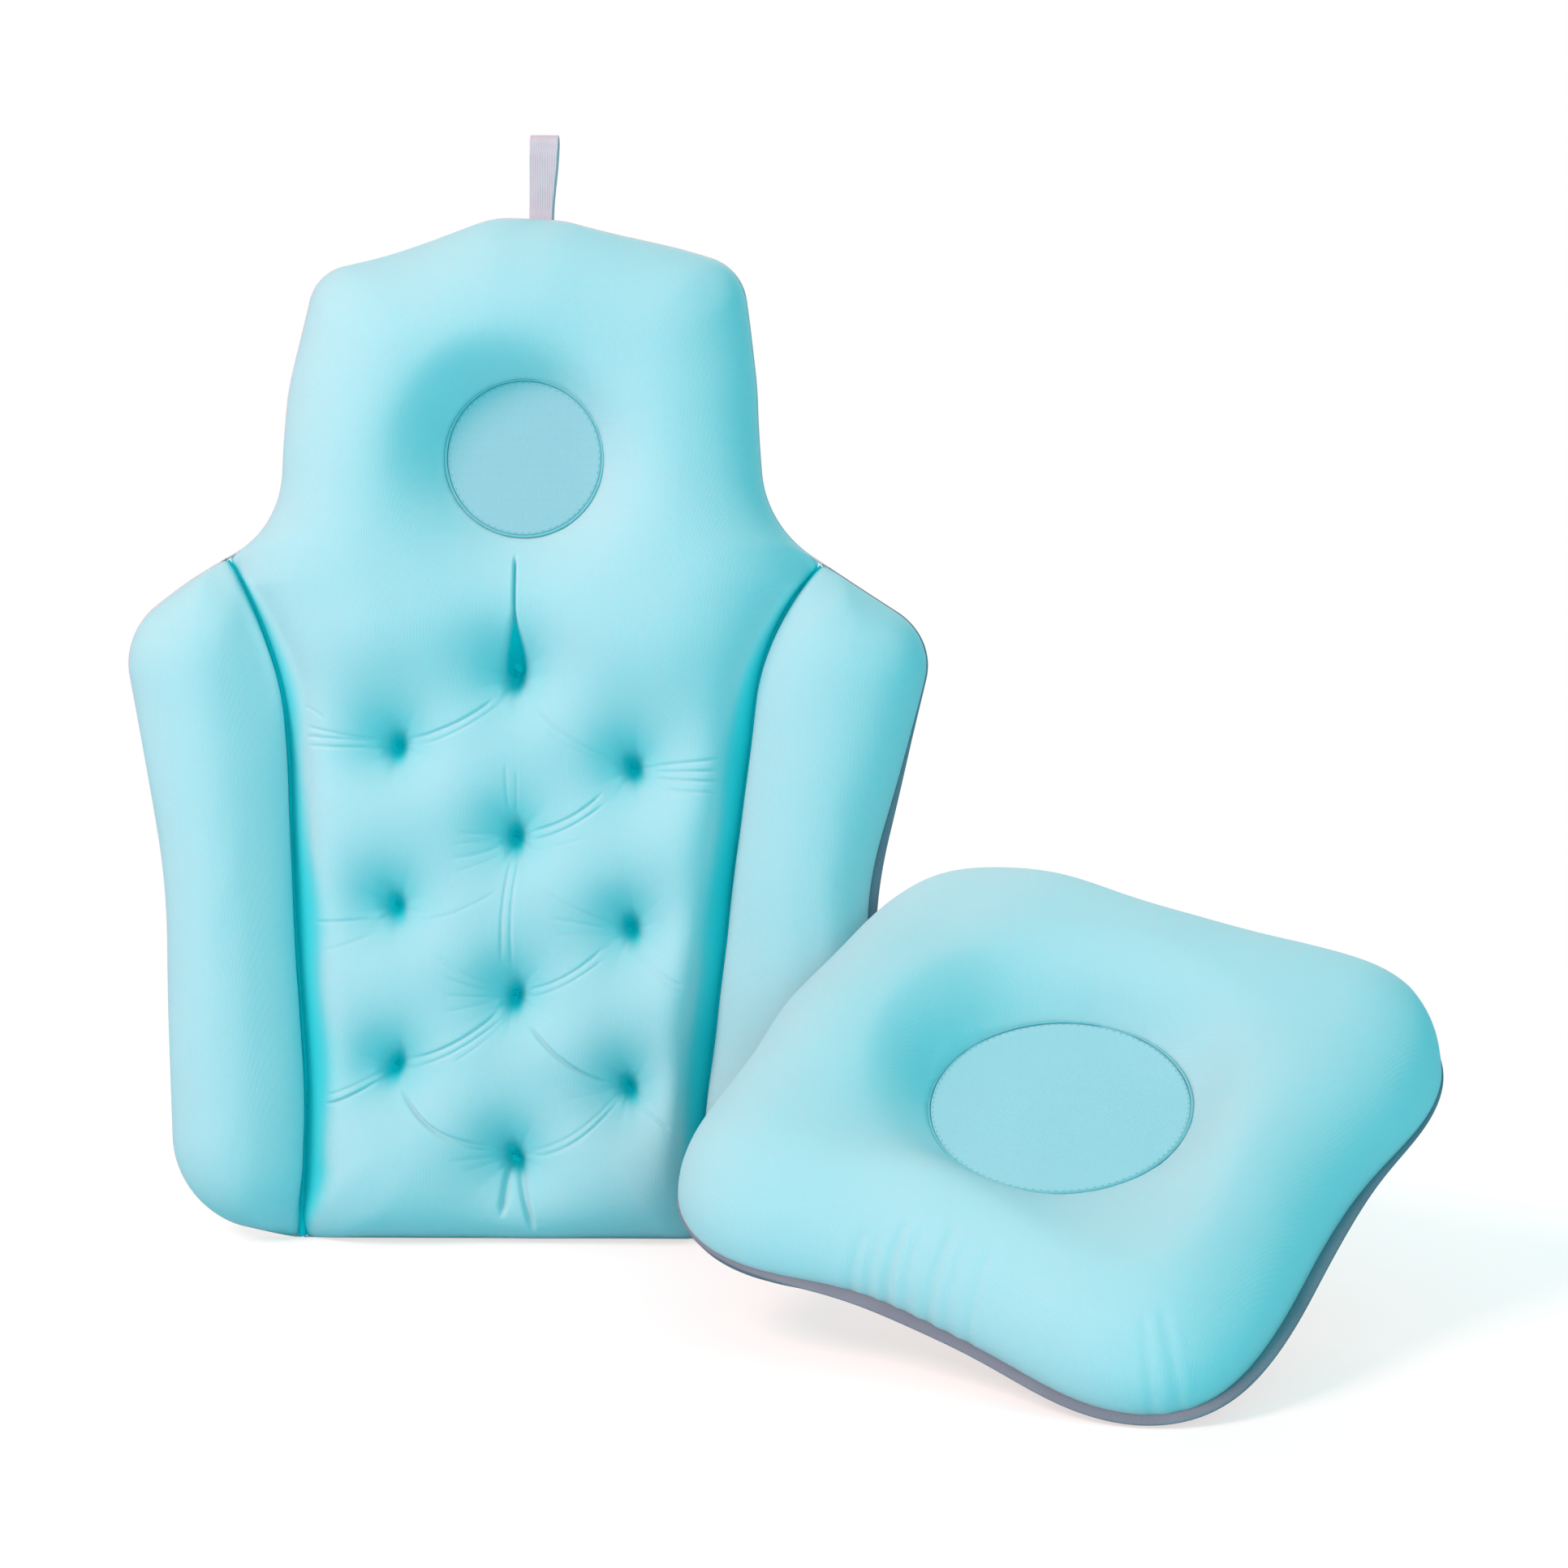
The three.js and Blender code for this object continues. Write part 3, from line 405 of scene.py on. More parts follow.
def roundedLine(corners):
    step = lineStep["edge"]
    points = [Vector(corners[0][:2])]
    for before, here, after in zip(corners, corners[1:], corners[2:]):
        corner, radius = Vector(here[:2]), here[2]
        toBefore = (Vector(before[:2]) - corner).normalized()
        toAfter = (Vector(after[:2]) - corner).normalized()
        half = toBefore.angle(toAfter) / 2
        start = corner + toBefore * radius / math.tan(half)
        centre = corner + (toBefore + toAfter).normalized() * radius / math.sin(half)
        sweep = math.pi - 2 * half
        side = 1 if toBefore.cross(toAfter) < 0 else -1
        steps = max(2, round(sweep * radius / step))
        for i in range(steps + 1):
            points.append(centre + Matrix.Rotation(side * sweep * i / steps, 2) @ (start - centre))
    points.append(Vector(corners[-1][:2]))
    return evenly(points, step)


def evenly(points, step):
    line = np.array(points)
    run = np.concatenate(([0], np.cumsum(np.linalg.norm(np.diff(line, axis=0), axis=1))))
    at = np.linspace(0, run[-1], max(2, round(run[-1] / step)) + 1)
    return np.column_stack([np.interp(at, run, line[:, i]) for i in range(line.shape[1])])


def shifted(line, by):
    along = np.gradient(line, axis=0)
    along /= np.linalg.norm(along, axis=1)[:, None]
    return line + np.reshape(by, (-1, 1)) * np.column_stack((along[:, 1], -along[:, 0]))


def mirrored(line):
    return line[::-1] * (-1, 1)


def curveBetween(start, bend, end, count=24):
    t = np.linspace(0, 1, count)[:, None]
    return (1 - t) ** 2 * np.array(start) + 2 * t * (1 - t) * np.array(bend) + t ** 2 * np.array(end)


def nearLine(xy, line):
    best = np.full(len(xy), np.inf)
    along = np.zeros(len(xy))
    run = 0
    for a, b in zip(line, line[1:]):
        d = b - a
        length = np.linalg.norm(d)
        t = np.clip(((xy - a) @ d) / length ** 2, 0, 1)
        gap = np.linalg.norm(xy - a - t[:, None] * d, axis=1)
        closer = gap < best
        best[closer] = gap[closer]
        along[closer] = (run + t * length)[closer]
        run += length
    return best, along / run


def nearestOn(line, points):
    tree = KDTree(len(line))
    for i, (x, y) in enumerate(line):
        tree.insert((x, y, 0), i)
    tree.balance()
    return np.array([tree.find((x, y, 0))[1] for x, y, z in points])


def distance(points, spot):
    return np.hypot(points[:, 0] - spot[0], points[:, 1] - spot[1])


def smooth(t):
    t = np.clip(t, 0, 1)
    return t * t * (3 - 2 * t)


# mesh helpers

def readPoints(mesh):
    co = np.empty(len(mesh.vertices) * 3)
    mesh.vertices.foreach_get("co", co)
    return co.reshape(-1, 3)


def writePoints(mesh, co):
    mesh.vertices.foreach_set("co", co.ravel())
    mesh.update()


def readNormals(mesh):
    normals = np.empty(len(mesh.vertices) * 3)
    mesh.vertices.foreach_get("normal", normals)
    return normals.reshape(-1, 3)


def newPiece(name, bm):
    mesh = bpy.data.meshes.new(name)
    bm.to_mesh(mesh)
    bm.free()
    piece = bpy.data.objects.new(name, mesh)
    scene.collection.objects.link(piece)
    return piece


def applyModifiers(piece):
    deps = bpy.context.evaluated_depsgraph_get()
    mesh = bpy.data.meshes.new_from_object(piece.evaluated_get(deps))
    piece.modifiers.clear()
    old = piece.data
    piece.data = mesh
    bpy.data.meshes.remove(old)
    mesh.name = piece.name


def setSmooth(mesh):
    mesh.polygons.foreach_set("use_smooth", np.ones(len(mesh.polygons), bool))
    mesh.update()


def setAttribute(mesh, name, values):
    layer = mesh.attributes.get(name) or mesh.attributes.new(name, "FLOAT", "POINT")
    layer.data.foreach_set("value", values.astype(np.float32))


def addBead(bm, faces, radius, place):
    bmesh.ops.create_uvsphere(bm, u_segments=faces[0], v_segments=faces[1], radius=radius, matrix=place)


def sew(piece, place, finish, slotName, body, *nodes):
    mesh = piece.data
    mesh.materials.clear()
    mesh.materials.append(finish)
    setSmooth(mesh)
    mesh.transform(place)
    restOnFloor(piece)
    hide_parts(*nodes)
    if body:
        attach(piece, body)


# padded pieces

padding = {
    "slab": 0.012,
    "voxel": 0.005,
    "lumpSize": 0.055,
    "lump": 0.0016,
    "lumpRise": 0.02,
    "lumpShift": (7.3, 3.1, 5.7),
    "swellFree": 0.03,
    "swellRise": 0.03,
    "discStill": 0.004,
    "backing": 0.0004,
    "floorGap": 0.0004,
}


def slabPad(name, outline):
    bm = bmesh.new()
    low = -padding["slab"] / 2
    ring = [bm.verts.new((x, y, low)) for x, y in evenly(outline, lineStep["pad"])]
    bmesh.ops.contextual_create(bm, geom=ring)
    raised = bmesh.ops.extrude_face_region(bm, geom=bm.faces[:])
    top = [v for v in raised["geom"] if isinstance(v, bmesh.types.BMVert)]
    bmesh.ops.translate(bm, verts=top, vec=(0, 0, padding["slab"]))
    bmesh.ops.recalc_face_normals(bm, faces=bm.faces[:])
    pad = newPiece(name, bm)
    even = pad.modifiers.new("even", "REMESH")
    even.mode = "VOXEL"
    even.voxel_size = padding["voxel"]
    applyModifiers(pad)
    return pad


def stuff(pad, outline, spec, tips=()):
    co = readPoints(pad.data)
    edge = evenly(np.vstack((outline, outline[:1])), lineStep["search"])
    near = edge[nearestOn(edge, co)]
    inward = co[:, :2] - near
    depth = np.linalg.norm(inward, axis=1)
    inward /= np.maximum(depth, tiny)[:, None]
    top = co[:, 2] > padding["slab"] / 4
    bottom = co[:, 2] < -padding["slab"] / 4
    wall = ~(top | bottom)
    co[wall, :2] = near[wall]
    co[wall, 2] = 0
    pullTips(co, wall, tips)
    for side, face, sign in ((top, spec["front"], 1), (bottom, spec["rear"], -1)):
        turn = np.minimum(depth[side] / face["roll"], 1) * math.pi / 2
        reach = np.where(depth[side] < face["roll"], face["roll"] * (1 - np.cos(turn)), depth[side])
        co[side, :2] = near[side] + inward[side] * reach[:, None]
        co[side, 2] = sign * face["crown"] * np.sin(turn)
    writePoints(pad.data, co)
    return top, bottom


def refine(pad, inZone=None):
    finer = pad.modifiers.new("finer", "SUBSURF")
    finer.levels = finer.render_levels = 1
    applyModifiers(pad)
    if inZone is None:
        return
    bm = bmesh.new()
    bm.from_mesh(pad.data)
    edges = {e for f in bm.faces if inZone(f.calc_center_median()) for e in f.edges}
    bmesh.ops.subdivide_edges(bm, edges=list(edges), cuts=1, use_grid_fill=True)
    bm.to_mesh(pad.data)
    bm.free()


def soften(pad, seed):
    # slow unevenness of a hand-filled cushion
    co = readPoints(pad.data)
    normals = readNormals(pad.data)
    shift = Vector([seed * part for part in padding["lumpShift"]])
    swell = np.array([noise.noise(Vector(p) / padding["lumpSize"] + shift) for p in co])
    share = smooth(co[:, 2] / padding["lumpRise"])
    writePoints(pad.data, co + normals * (padding["lump"] * swell * share)[:, None])


def uneven(co, swells, dish):
    # places where the sewn outline and the filling stray from the pattern, in mm; the disc keeps still
    moved = co.copy()
    still = dish["radius"] + padding["discStill"]
    free = smooth((distance(co, dish["centre"]) - still) / padding["swellFree"])
    full = np.clip(co[:, 2] / padding["swellRise"], 0, 1)
    for x, y, across, up, dx, dy, dz in np.array(swells) / 1000:
        near = free * np.exp(-((co[:, 0] - x) / across) ** 2 - ((co[:, 1] - y) / up) ** 2)
        moved += np.column_stack((near * dx, near * dy, near * full * dz))
    return moved


def pullTips(co, wall, tips):
    # the remesh rounds the sharp ends off, so they are drawn out to the seam again
    at = np.flatnonzero(wall)
    for tip in tips:
        co[at[np.linalg.norm(co[at, :2] - tip, axis=1).argmin()], :2] = tip


def restOnFloor(piece):
    co = readPoints(piece.data)
    co[:, 2] = np.maximum(co[:, 2], padding["floorGap"])
    writePoints(piece.data, co)


def backingFaces(mesh):
    height = readPoints(mesh)[:, 2]
    behind = np.zeros(len(mesh.polygons), np.int32)
    for poly in mesh.polygons:
        if height[poly.vertices[0]] < 0 and np.mean(height[list(poly.vertices)]) < -padding["backing"]:
            behind[poly.index] = 1
    return behind


def dress(pad, place, body, *nodes):
    behind = backingFaces(pad.data)
    sew(pad, place, aquaStretch, "aqua_cover", body, *nodes)
    pad.data.materials.append(greyBacking)
    pad.data.polygons.foreach_set("material_index", behind)


# dishes: a disc lies low in the filling, and the wall round it is steepest on one side

dishes = {"ease": 1.5, "rim": 0.003, "fine": 0.012}


def pressDish(co, top, reach, dish):
    across = co[:, :2] - dish["centre"]
    away = np.hypot(across[:, 0], across[:, 1])
    turned = np.arctan2(across[:, 1], across[:, 0]) - math.radians(dish["steepAt"])
    even, steep = dish["power"]
    power = even + steep * (np.cos(turned) / 2 + 0.5) ** dishes["ease"]
    rise = 1 - (1 - np.clip((away - dish["radius"]) / reach, 0, 1)) ** power
    dished = dish["height"] + (co[:, 2] - dish["height"]) * rise
    co[top, 2] = np.minimum(dished, co[:, 2])[top]


def discRecess(xy, dish):
    edge = dish["radius"] + dish["rimReach"]
    return dish["recess"] * smooth((edge - distance(xy, dish["centre"])) / dishes["rim"])


# painted shade: a deeper teal painted on one side of the wall round a disc, the side the lamp leaves in shade
def wallShade(xy, dish):
    deep, at, spread, reach = dish["shade"]
    across = xy - np.array(dish["centre"])
    away = np.maximum(np.hypot(across[:, 0], across[:, 1]) - dish["radius"], 0)
    turn = np.angle(np.exp(1j * (np.arctan2(across[:, 1], across[:, 0]) - math.radians(at))))
    return deep * np.exp(-(turn / math.radians(spread)) ** 2 - (away / reach) ** 2)


def besideDisc(point, dish):
    return abs((point.xy - Vector(dish["centre"])).length - dish["radius"]) < dishes["fine"]


# back cushion outline

back = {
    "corners": [
        (0.0, 0.592, 0.0), (0.020, 0.592, 0.060), (0.1225, 0.5625, 0.028), (0.135, 0.495, 0.180),
        (0.140, 0.415, 0.062), (0.2355, 0.3515, 0.038), (0.207, 0.203, 0.400), (0.2035, 0.014, 0.054),
        (0.117, 0.0, 0.054), (0.0, 0.0, 0.0),
    ],
    "junction": 0.394,
    "channelBend": (0.1348, 0.356),
    "channelTurn": (0.132, 0.300),
    "channelBase": (0.117, 0.0),
    "channelGap": 0.0004,
    "channelEnds": (0.0012, 0.0015),
    "channelShade": (0.0115, 0.0105),
    "channelWave": 0.2,
    "channelShadeFrom": (0.285, 0.365),
    "channelShadeGrow": 0.115,
    "channelThin": 0.0030,
    "channelShadeWeight": 0.95,
    "channelPower": 2.3,
    "footFade": 0.045,
    "lean": 0.0075,
    "leanReach": 0.020,
    "leanHeight": 0.020,
    "leanTop": (0.004, 0.075),
    "shoulder": (0.27, 0.06),
    "shoulderLift": 0.009,
    "shoulderReach": 0.006,
    "shoulderFade": 0.025,
    "shoulderAbove": 0.003,
    "hem": 0.0006,
    "hemRight": 0.0048,
    "hemRightAt": (0.20, 0.075),
    "front": {"crown": 0.049, "roll": 0.062},
    "rear": {"crown": 0.0125, "roll": 0.045},
    "clear": 0.0002,
    "fineBelow": 0.41,
    "seed": 1,
    # x, y, across, up, then the move in x, y and z
    "swells": [
        (-140, 465, 42, 70, -4.5, 0, 0), (-195, 378, 40, 30, -1, 3.5, 0), (-215, 150, 40, 90, -2.2, 0, 0),
        (-83, 573, 40, 30, 0, -3, 0), (-15, 590, 25, 25, 0, 1.5, 0), (95, 570, 45, 35, 0, 3.5, 0),
        (129, 548, 30, 50, 2, 0, 0), (235, 340, 40, 40, 2, 0, 0), (135, 475, 30, 60, -2, 0, 0),
        (206, 195, 32, 60, -3, 0, 0), (112, 60, 36, 150, -13, 0, 0), (128, 312, 30, 55, 3, 0, 0),
        (-122, 95, 34, 50, 3, 0, 0), (-122, 20, 36, 170, -12, 0, 0), (-145, 335, 30, 50, -6, 0, 0),
        (-135, 240, 36, 95, -7, 0, 0), (-48, 512, 50, 40, 0, 0, 5), (-98, 455, 36, 45, 0, 0, 4),
        (100, 232, 20, 36, 0, 0, 4), (97, 140, 20, 34, 0, 0, 4),
        (-72, 350, 60, 30, 0, 0, 6), (72, 346, 60, 32, 0, 0, 7),
    ],
}

headDish = {
    "centre": (0.0, 0.452),
    "radius": 0.0456,
    "height": 0.022,
    "reach": 0.060,
    "power": (2.5, 2.3),
    "steepAt": 80.0,
    "recess": 0.003,
    "rimReach": 0.0015,
    "shade": (0.16, 150.0, 55.0, 0.030),
}

tufts = {
    "places": [(-0.005, 0.051), (-0.005, 0.1433), (-0.005, 0.2356), (-0.005, 0.3279),
               (-0.073, 0.10315), (-0.073, 0.19545), (-0.073, 0.28775),
               (0.063, 0.09115), (0.063, 0.18345), (0.063, 0.27575)],
    "pitch": 0.0923,
    "rowAt": 0.19545,
    "valley": 0.027,
    "valleyPower": 1.2,
    "valleyShare": 0.84,
    "rear": (0.8, 0.018, 1.4),
    "leans": [28, 0, 8, 0, -12, 15, 5, 35, 25, 25],
    "pitAcross": 0.0056,
    "pitUp": 0.0104,
    "pitDrop": 0.002,
    "pitDepth": 0.012,
    "pitPower": 2.4,
    "pitShade": (1.15, 3),
    "pucker": 0.0011,
    "puckers": [(9, 1.0, 1.0), (14, 0.6, 2.3)],
    "puckerRing": (0.010, 0.003, 0.008),
    # painted shade halo round a tuft: strength, width and how far above the pit it sits
    "ring": (0.52, 0.019, 0.004),
}

backEdge = roundedLine(back["corners"])
junctionAt = int(np.argmax(backEdge[:, 1] < back["junction"]))
channel = np.vstack((
    curveBetween(backEdge[junctionAt], back["channelBend"], back["channelTurn"]),
    [back["channelBase"]],
))
channel = evenly(channel, lineStep["edge"])


def channelX(height):
    return np.interp(height, channel[::-1, 1], channel[::-1, 0])


def hemWidth(height, side):
    middle, spread = back["hemRightAt"]
    extra = back["hemRight"] * np.exp(-((height - middle) / spread) ** 2) if side > 0 else 0 * height
    return back["hem"] + extra


def centreOutline():
    inset = back["hem"]
    upper = shifted(backEdge[:junctionAt], inset)
    side = shifted(channel, back["channelGap"])
    side = side[side[:, 1] > inset]
    base = evenly([(side[-1, 0], inset), (0.0, inset)], lineStep["edge"])
    right = np.vstack((upper, side, base))
    return np.vstack((right, mirrored(right)[1:-1]))


def bolsterOutline(side):
    outer = backEdge[junctionAt:]
    outer = outer[outer[:, 0] > back["channelBase"][0]]
    outer = shifted(outer, hemWidth(outer[:, 1], side))
    inner = shifted(channel, -back["channelGap"])
    inner = inner[inner[:, 1] > back["hem"]]
    outline = np.vstack((inner, outer[::-1]))
    return outline if side > 0 else mirrored(outline)


def channelFull(height):
    below, span = back["leanTop"]
    return smooth((back["junction"] - below - height) / span) * smooth(height / back["footFade"])


def strayBack(co):
    # the tightly filled bolsters hang over their seams towards the middle
    gap = np.abs(co[:, 0]) - channelX(co[:, 1])
    over = smooth(co[:, 2] / back["leanHeight"]) * np.exp(-(gap / back["leanReach"]) ** 2)
    over *= channelFull(co[:, 1])
    leant = co.copy()
    leant[:, 0] -= np.sign(co[:, 0]) * back["lean"] * over
    # at the shoulders the groove runs out and lies shallow
    start, span = back["shoulder"]
    shallow = smooth((co[:, 1] - start) / span) * smooth((back["junction"] - co[:, 1]) / back["shoulderFade"])
    shallow *= smooth(co[:, 2] / back["shoulderAbove"]) * np.exp(-(gap / back["shoulderReach"]) ** 2)
    leant[:, 2] += back["shoulderLift"] * shallow
    return uneven(leant, back["swells"], headDish)


def shapeCentre(pad, top, bottom):
    co = readPoints(pad.data)
    pressDish(co, top, headDish["reach"], headDish)
    gaps = [distance(co, spot) for spot in tufts["places"]]
    near = np.min(gaps, axis=0)
    rise = np.ones(len(co))
    for gap in gaps:
        rise *= 1 - np.exp(-(gap / tufts["valley"]) ** tufts["valleyPower"])
    co[top, 2] *= (1 - tufts["valleyShare"] * (1 - rise))[top]
    share, reach, power = tufts["rear"]
    co[bottom, 2] *= (1 - share * np.exp(-(near / reach) ** power))[bottom]
    writePoints(pad.data, co)


def makeCentre():
    outline = centreOutline()
    pad = slabPad("centrePad", outline)
    ends = (outline[junctionAt], (channel[-1, 0], back["hem"]))
    tips = [(side * x, y) for side in (-1, 1) for x, y in ends]
    shapeCentre(pad, *stuff(pad, outline, back, tips))
    refine(pad, lambda p: p.z > 0 and (p.y < back["fineBelow"] or besideDisc(p, headDish)))
    soften(pad, back["seed"])
    return pad


# folds pulled tight between the tufts: start, bend and end on the cushion in mm, then depth in mm

folds = {
    "points": 14,
    "width": 0.0012,
    "share": 0.95,
    "full": 1.6,
    "power": 0.7,
    "taper": 0.2,
    "lip": (0.35, 2.2, 1.1),
    "margin": 0.008,
    "above": 0.002,
    "fine": 0.0034,
    "lines": [
        # from the left tufts out to the channel
        (-127, 298, -108, 293, -80, 290, 1.5), (-127, 292, -108, 291, -82, 288, 1.6),
        (-126, 287, -108, 285, -84, 286, 1.3), (-127, 309, -119, 307, -110, 301, 0.9),
        (-121, 185, -99, 185, -79, 187, 1.3), (-116, 168, -99, 170, -78, 181, 0.8),
        (-115, 80, -99, 81, -78, 96, 2.0), (-116, 85, -99, 86, -78, 99, 1.3),
        # from the right tufts out to the channel
        (72, 275, 95, 277, 120, 280, 1.4), (72, 272, 98, 272, 121, 273, 1.5),
        (72, 269, 98, 266, 122, 267, 1.5), (80, 262, 102, 260, 122, 260, 1.2),
        (67, 171, 82, 154, 106, 149, 1.4), (65, 170, 82, 151, 105, 144, 1.1),
        (67, 82, 82, 74, 100, 66, 1.4),
        # top tuft to its neighbours
        (-66, 290, -34, 297, -14, 316, 1.6), (-62, 286, -34, 293, -11, 313, 1.1),
        (4, 313, 24, 287, 56, 278, 1.2), (10, 298, 30, 281, 54, 276, 0.9),
        # third tuft to its neighbours
        (2, 237, 30, 242, 48, 262, 1.6), (2, 232, 25, 235, 50, 256, 1.4), (2, 227, 24, 228, 40, 236, 0.7),
        (-42, 230, -25, 231, -10, 233, 0.8), (-42, 222, -25, 223, -11, 229, 0.8),
        (-38, 237, -25, 235, -10, 236, 0.7), (-40, 214, -25, 217, -10, 226, 0.6),
        (-9, 278, -10, 266, -8, 246, 0.9), (-3, 274, -3, 262, -4, 246, 0.8),
        (-5, 226, -12, 204, -12, 160, 1.3), (-2, 224, -8, 194, -6, 156, 1.2),
        (-66, 186, -42, 185, -12, 205, 0.8),
        # second tuft to its neighbours
        (8, 206, 32, 191, 56, 183, 0.9), (14, 188, 32, 186, 54, 180, 0.8), (16, 178, 34, 179, 54, 178, 0.6),
        (2, 146, 26, 150, 48, 172, 1.4), (2, 141, 26, 147, 49, 166, 1.2),
        (-52, 170, -34, 153, -11, 146, 1.0), (-46, 155, -31, 148, -11, 144, 0.9),
        (-46, 134, -27, 136, -11, 141, 0.8), (-46, 144, -28, 142, -11, 142.5, 0.7),
        (-66, 105, -34, 114, -11, 136, 1.7), (-65, 101, -38, 107, -8, 133, 1.4),
        (-42, 104, -25, 112, -6, 132, 0.9),
        (3, 128, 24, 99, 55, 92, 1.9), (1, 130, 20, 104, 54, 88, 0.9), (24, 84, 40, 86, 55, 88, 0.6),
        # bottom tuft to its neighbours
        (-70, 95, -60, 61, -12, 56, 1.9), (-68, 90, -53, 56, -11, 53, 1.7), (-42, 49, -27, 49, -11, 51, 0.8),
        (2, 50, 27, 50, 58, 84, 1.5), (2, 53, 27, 56, 56, 86, 1.2), (-36, 42, -24, 44, -11, 48, 0.6),
    ],
    "dart": (-4.5, 398, -4, 365, -5, 330),
    "dartLine": (0.0009, 0.0045),
    "dartDrop": (0.0056, 0.015),
    "dartDropFrom": 0.46,
    "dartDropTo": 0.95,
    "dartTaper": 0.15,
    "dartPower": 2.4,
    "dartShade": 0.008,
    "pleats": [(-7, 47, -9.5, 30, -12, 14), (-2.5, 47, 1.5, 28, 7, 4)],
    "pleatDepth": 0.0045,
    "pleatWidth": (0.0022, 0.0014),
    "pleatNarrow": 3,
    "pleatTaper": 0.3,
}


def foldLineOf(numbers):
    mm = np.array(numbers[:6]).reshape(3, 2) / 1000
    return curveBetween(*mm, count=folds["points"])


def besideLine(xy, line):
    low, high = line.min(0) - folds["margin"], line.max(0) + folds["margin"]
    return np.flatnonzero(((xy > low) & (xy < high)).all(1))


def pressFolds(xy, lines, width):
    sunk = np.zeros(len(xy))
    lip, lipAt, lipWide = folds["lip"]
    for fold in lines:
        line, deep = foldLineOf(fold), fold[-1]
        inside = besideLine(xy, line)
        gap, along = nearLine(xy[inside], line)
        taper = smooth(along / folds["taper"]) * smooth((1 - along) / folds["taper"])
        across = gap / width
        # a narrow crease with a soft lip on either side of it
        profile = np.exp(-across ** 2) - lip * np.exp(-((across - lipAt) / lipWide) ** 2)
        strength = folds["share"] * (deep / folds["full"]) ** folds["power"]
        sunk[inside] += strength * deep / 1000 * taper * profile
    return sunk


def sharpen(pad):
    # a finer mesh along the folds only
    bm = bmesh.new()
    bm.from_mesh(pad.data)
    middles = np.array([f.calc_center_median() for f in bm.faces])
    close = np.zeros(len(middles), bool)
    for fold in folds["lines"] + [folds["dart"]] + folds["pleats"]:
        line = foldLineOf(fold)
        inside = besideLine(middles[:, :2], line)
        inside = inside[middles[inside, 2] > folds["above"]]
        close[inside[nearLine(middles[inside, :2], line)[0] < folds["fine"]]] = True
    edges = {e for f, chosen in zip(bm.faces, close) if chosen for e in f.edges}
    bmesh.ops.subdivide_edges(bm, edges=list(edges), cuts=1, use_grid_fill=True)
    bm.to_mesh(pad.data)
    bm.free()


def pressDart(xy):
    gap, along = nearLine(xy, foldLineOf(folds["dart"]))
    # a thin slit that opens into a drop above the top tuft
    opened = smooth((along - folds["dartDropFrom"]) / (folds["dartDropTo"] - folds["dartDropFrom"]))
    (thin, shallow), (broad, deep) = folds["dartLine"], folds["dartDrop"]
    wide = thin + (broad - thin) * opened
    depth = (shallow + (deep - shallow) * opened) * smooth(along / folds["dartTaper"])
    return depth * np.exp(-(gap / wide) ** folds["dartPower"])


def pressPleat(xy, numbers):
    gap, along = nearLine(xy, foldLineOf(numbers))
    broad, thin = folds["pleatWidth"]
    wide = broad + (thin - broad) * along ** folds["pleatNarrow"]
    return folds["pleatDepth"] * np.exp(-(gap / wide) ** 2) * smooth((1 - along) / folds["pleatTaper"])


def pressTufts(xy, sunk):
    paintedShade = np.zeros(len(xy))
    fade, clear, grow = tufts["puckerRing"]
    deep, wide, above = tufts["ring"]
    shadeWide, shadePower = tufts["pitShade"]
    for i, (x, y) in enumerate(tufts["places"]):
        dx, dy = xy[:, 0] - x, xy[:, 1] - y + tufts["pitDrop"]
        gap, angle = np.hypot(dx, dy), np.arctan2(dy, dx)
        lean = math.radians(tufts["leans"][i])
        up = dy * math.cos(lean) - dx * math.sin(lean)
        across = dx * math.cos(lean) + dy * math.sin(lean)
        oval = np.hypot(across / tufts["pitAcross"], up / tufts["pitUp"])
        puckers = sum(share * np.cos(count * angle + shift * i) for count, share, shift in tufts["puckers"])
        ring = np.exp(-gap / fade) * smooth((gap - clear) / grow)
        sunk += tufts["pitDepth"] * np.exp(-oval ** tufts["pitPower"]) - tufts["pucker"] * puckers * ring
        # painted shade: a deep teal in each pit, and a halo painted a little above the tuft where its slope
        # falls in shade
        paintedHalo = deep * np.exp(-(np.hypot(dx, dy - above) / wide) ** 2)
        paintedShade = np.maximum(paintedShade, np.maximum(np.exp(-(oval / shadeWide) ** shadePower), paintedHalo))
    return paintedShade


def channelPaintedShade(xy, side):
    # painted shade beside a channel, where the pad falls into the groove in shadow; the band widens where a
    # row of tufts pulls at it
    left = xy[:, 0] < 0
    widest = np.where(left, *back["channelShade"])
    start = np.where(left, *back["channelShadeFrom"])
    grown = smooth((start - xy[:, 1]) / back["channelShadeGrow"]) * smooth(xy[:, 1] / back["footFade"])
    rows = np.cos(2 * math.pi * (xy[:, 1] - tufts["rowAt"]) / tufts["pitch"])
    reach = back["channelThin"] + (widest * (1 + back["channelWave"] * rows) - back["channelThin"]) * grown
    shade = back["channelShadeWeight"] * np.exp(-np.abs(side / reach) ** back["channelPower"])
    return np.where(xy[:, 1] < back["junction"], shade, 0)


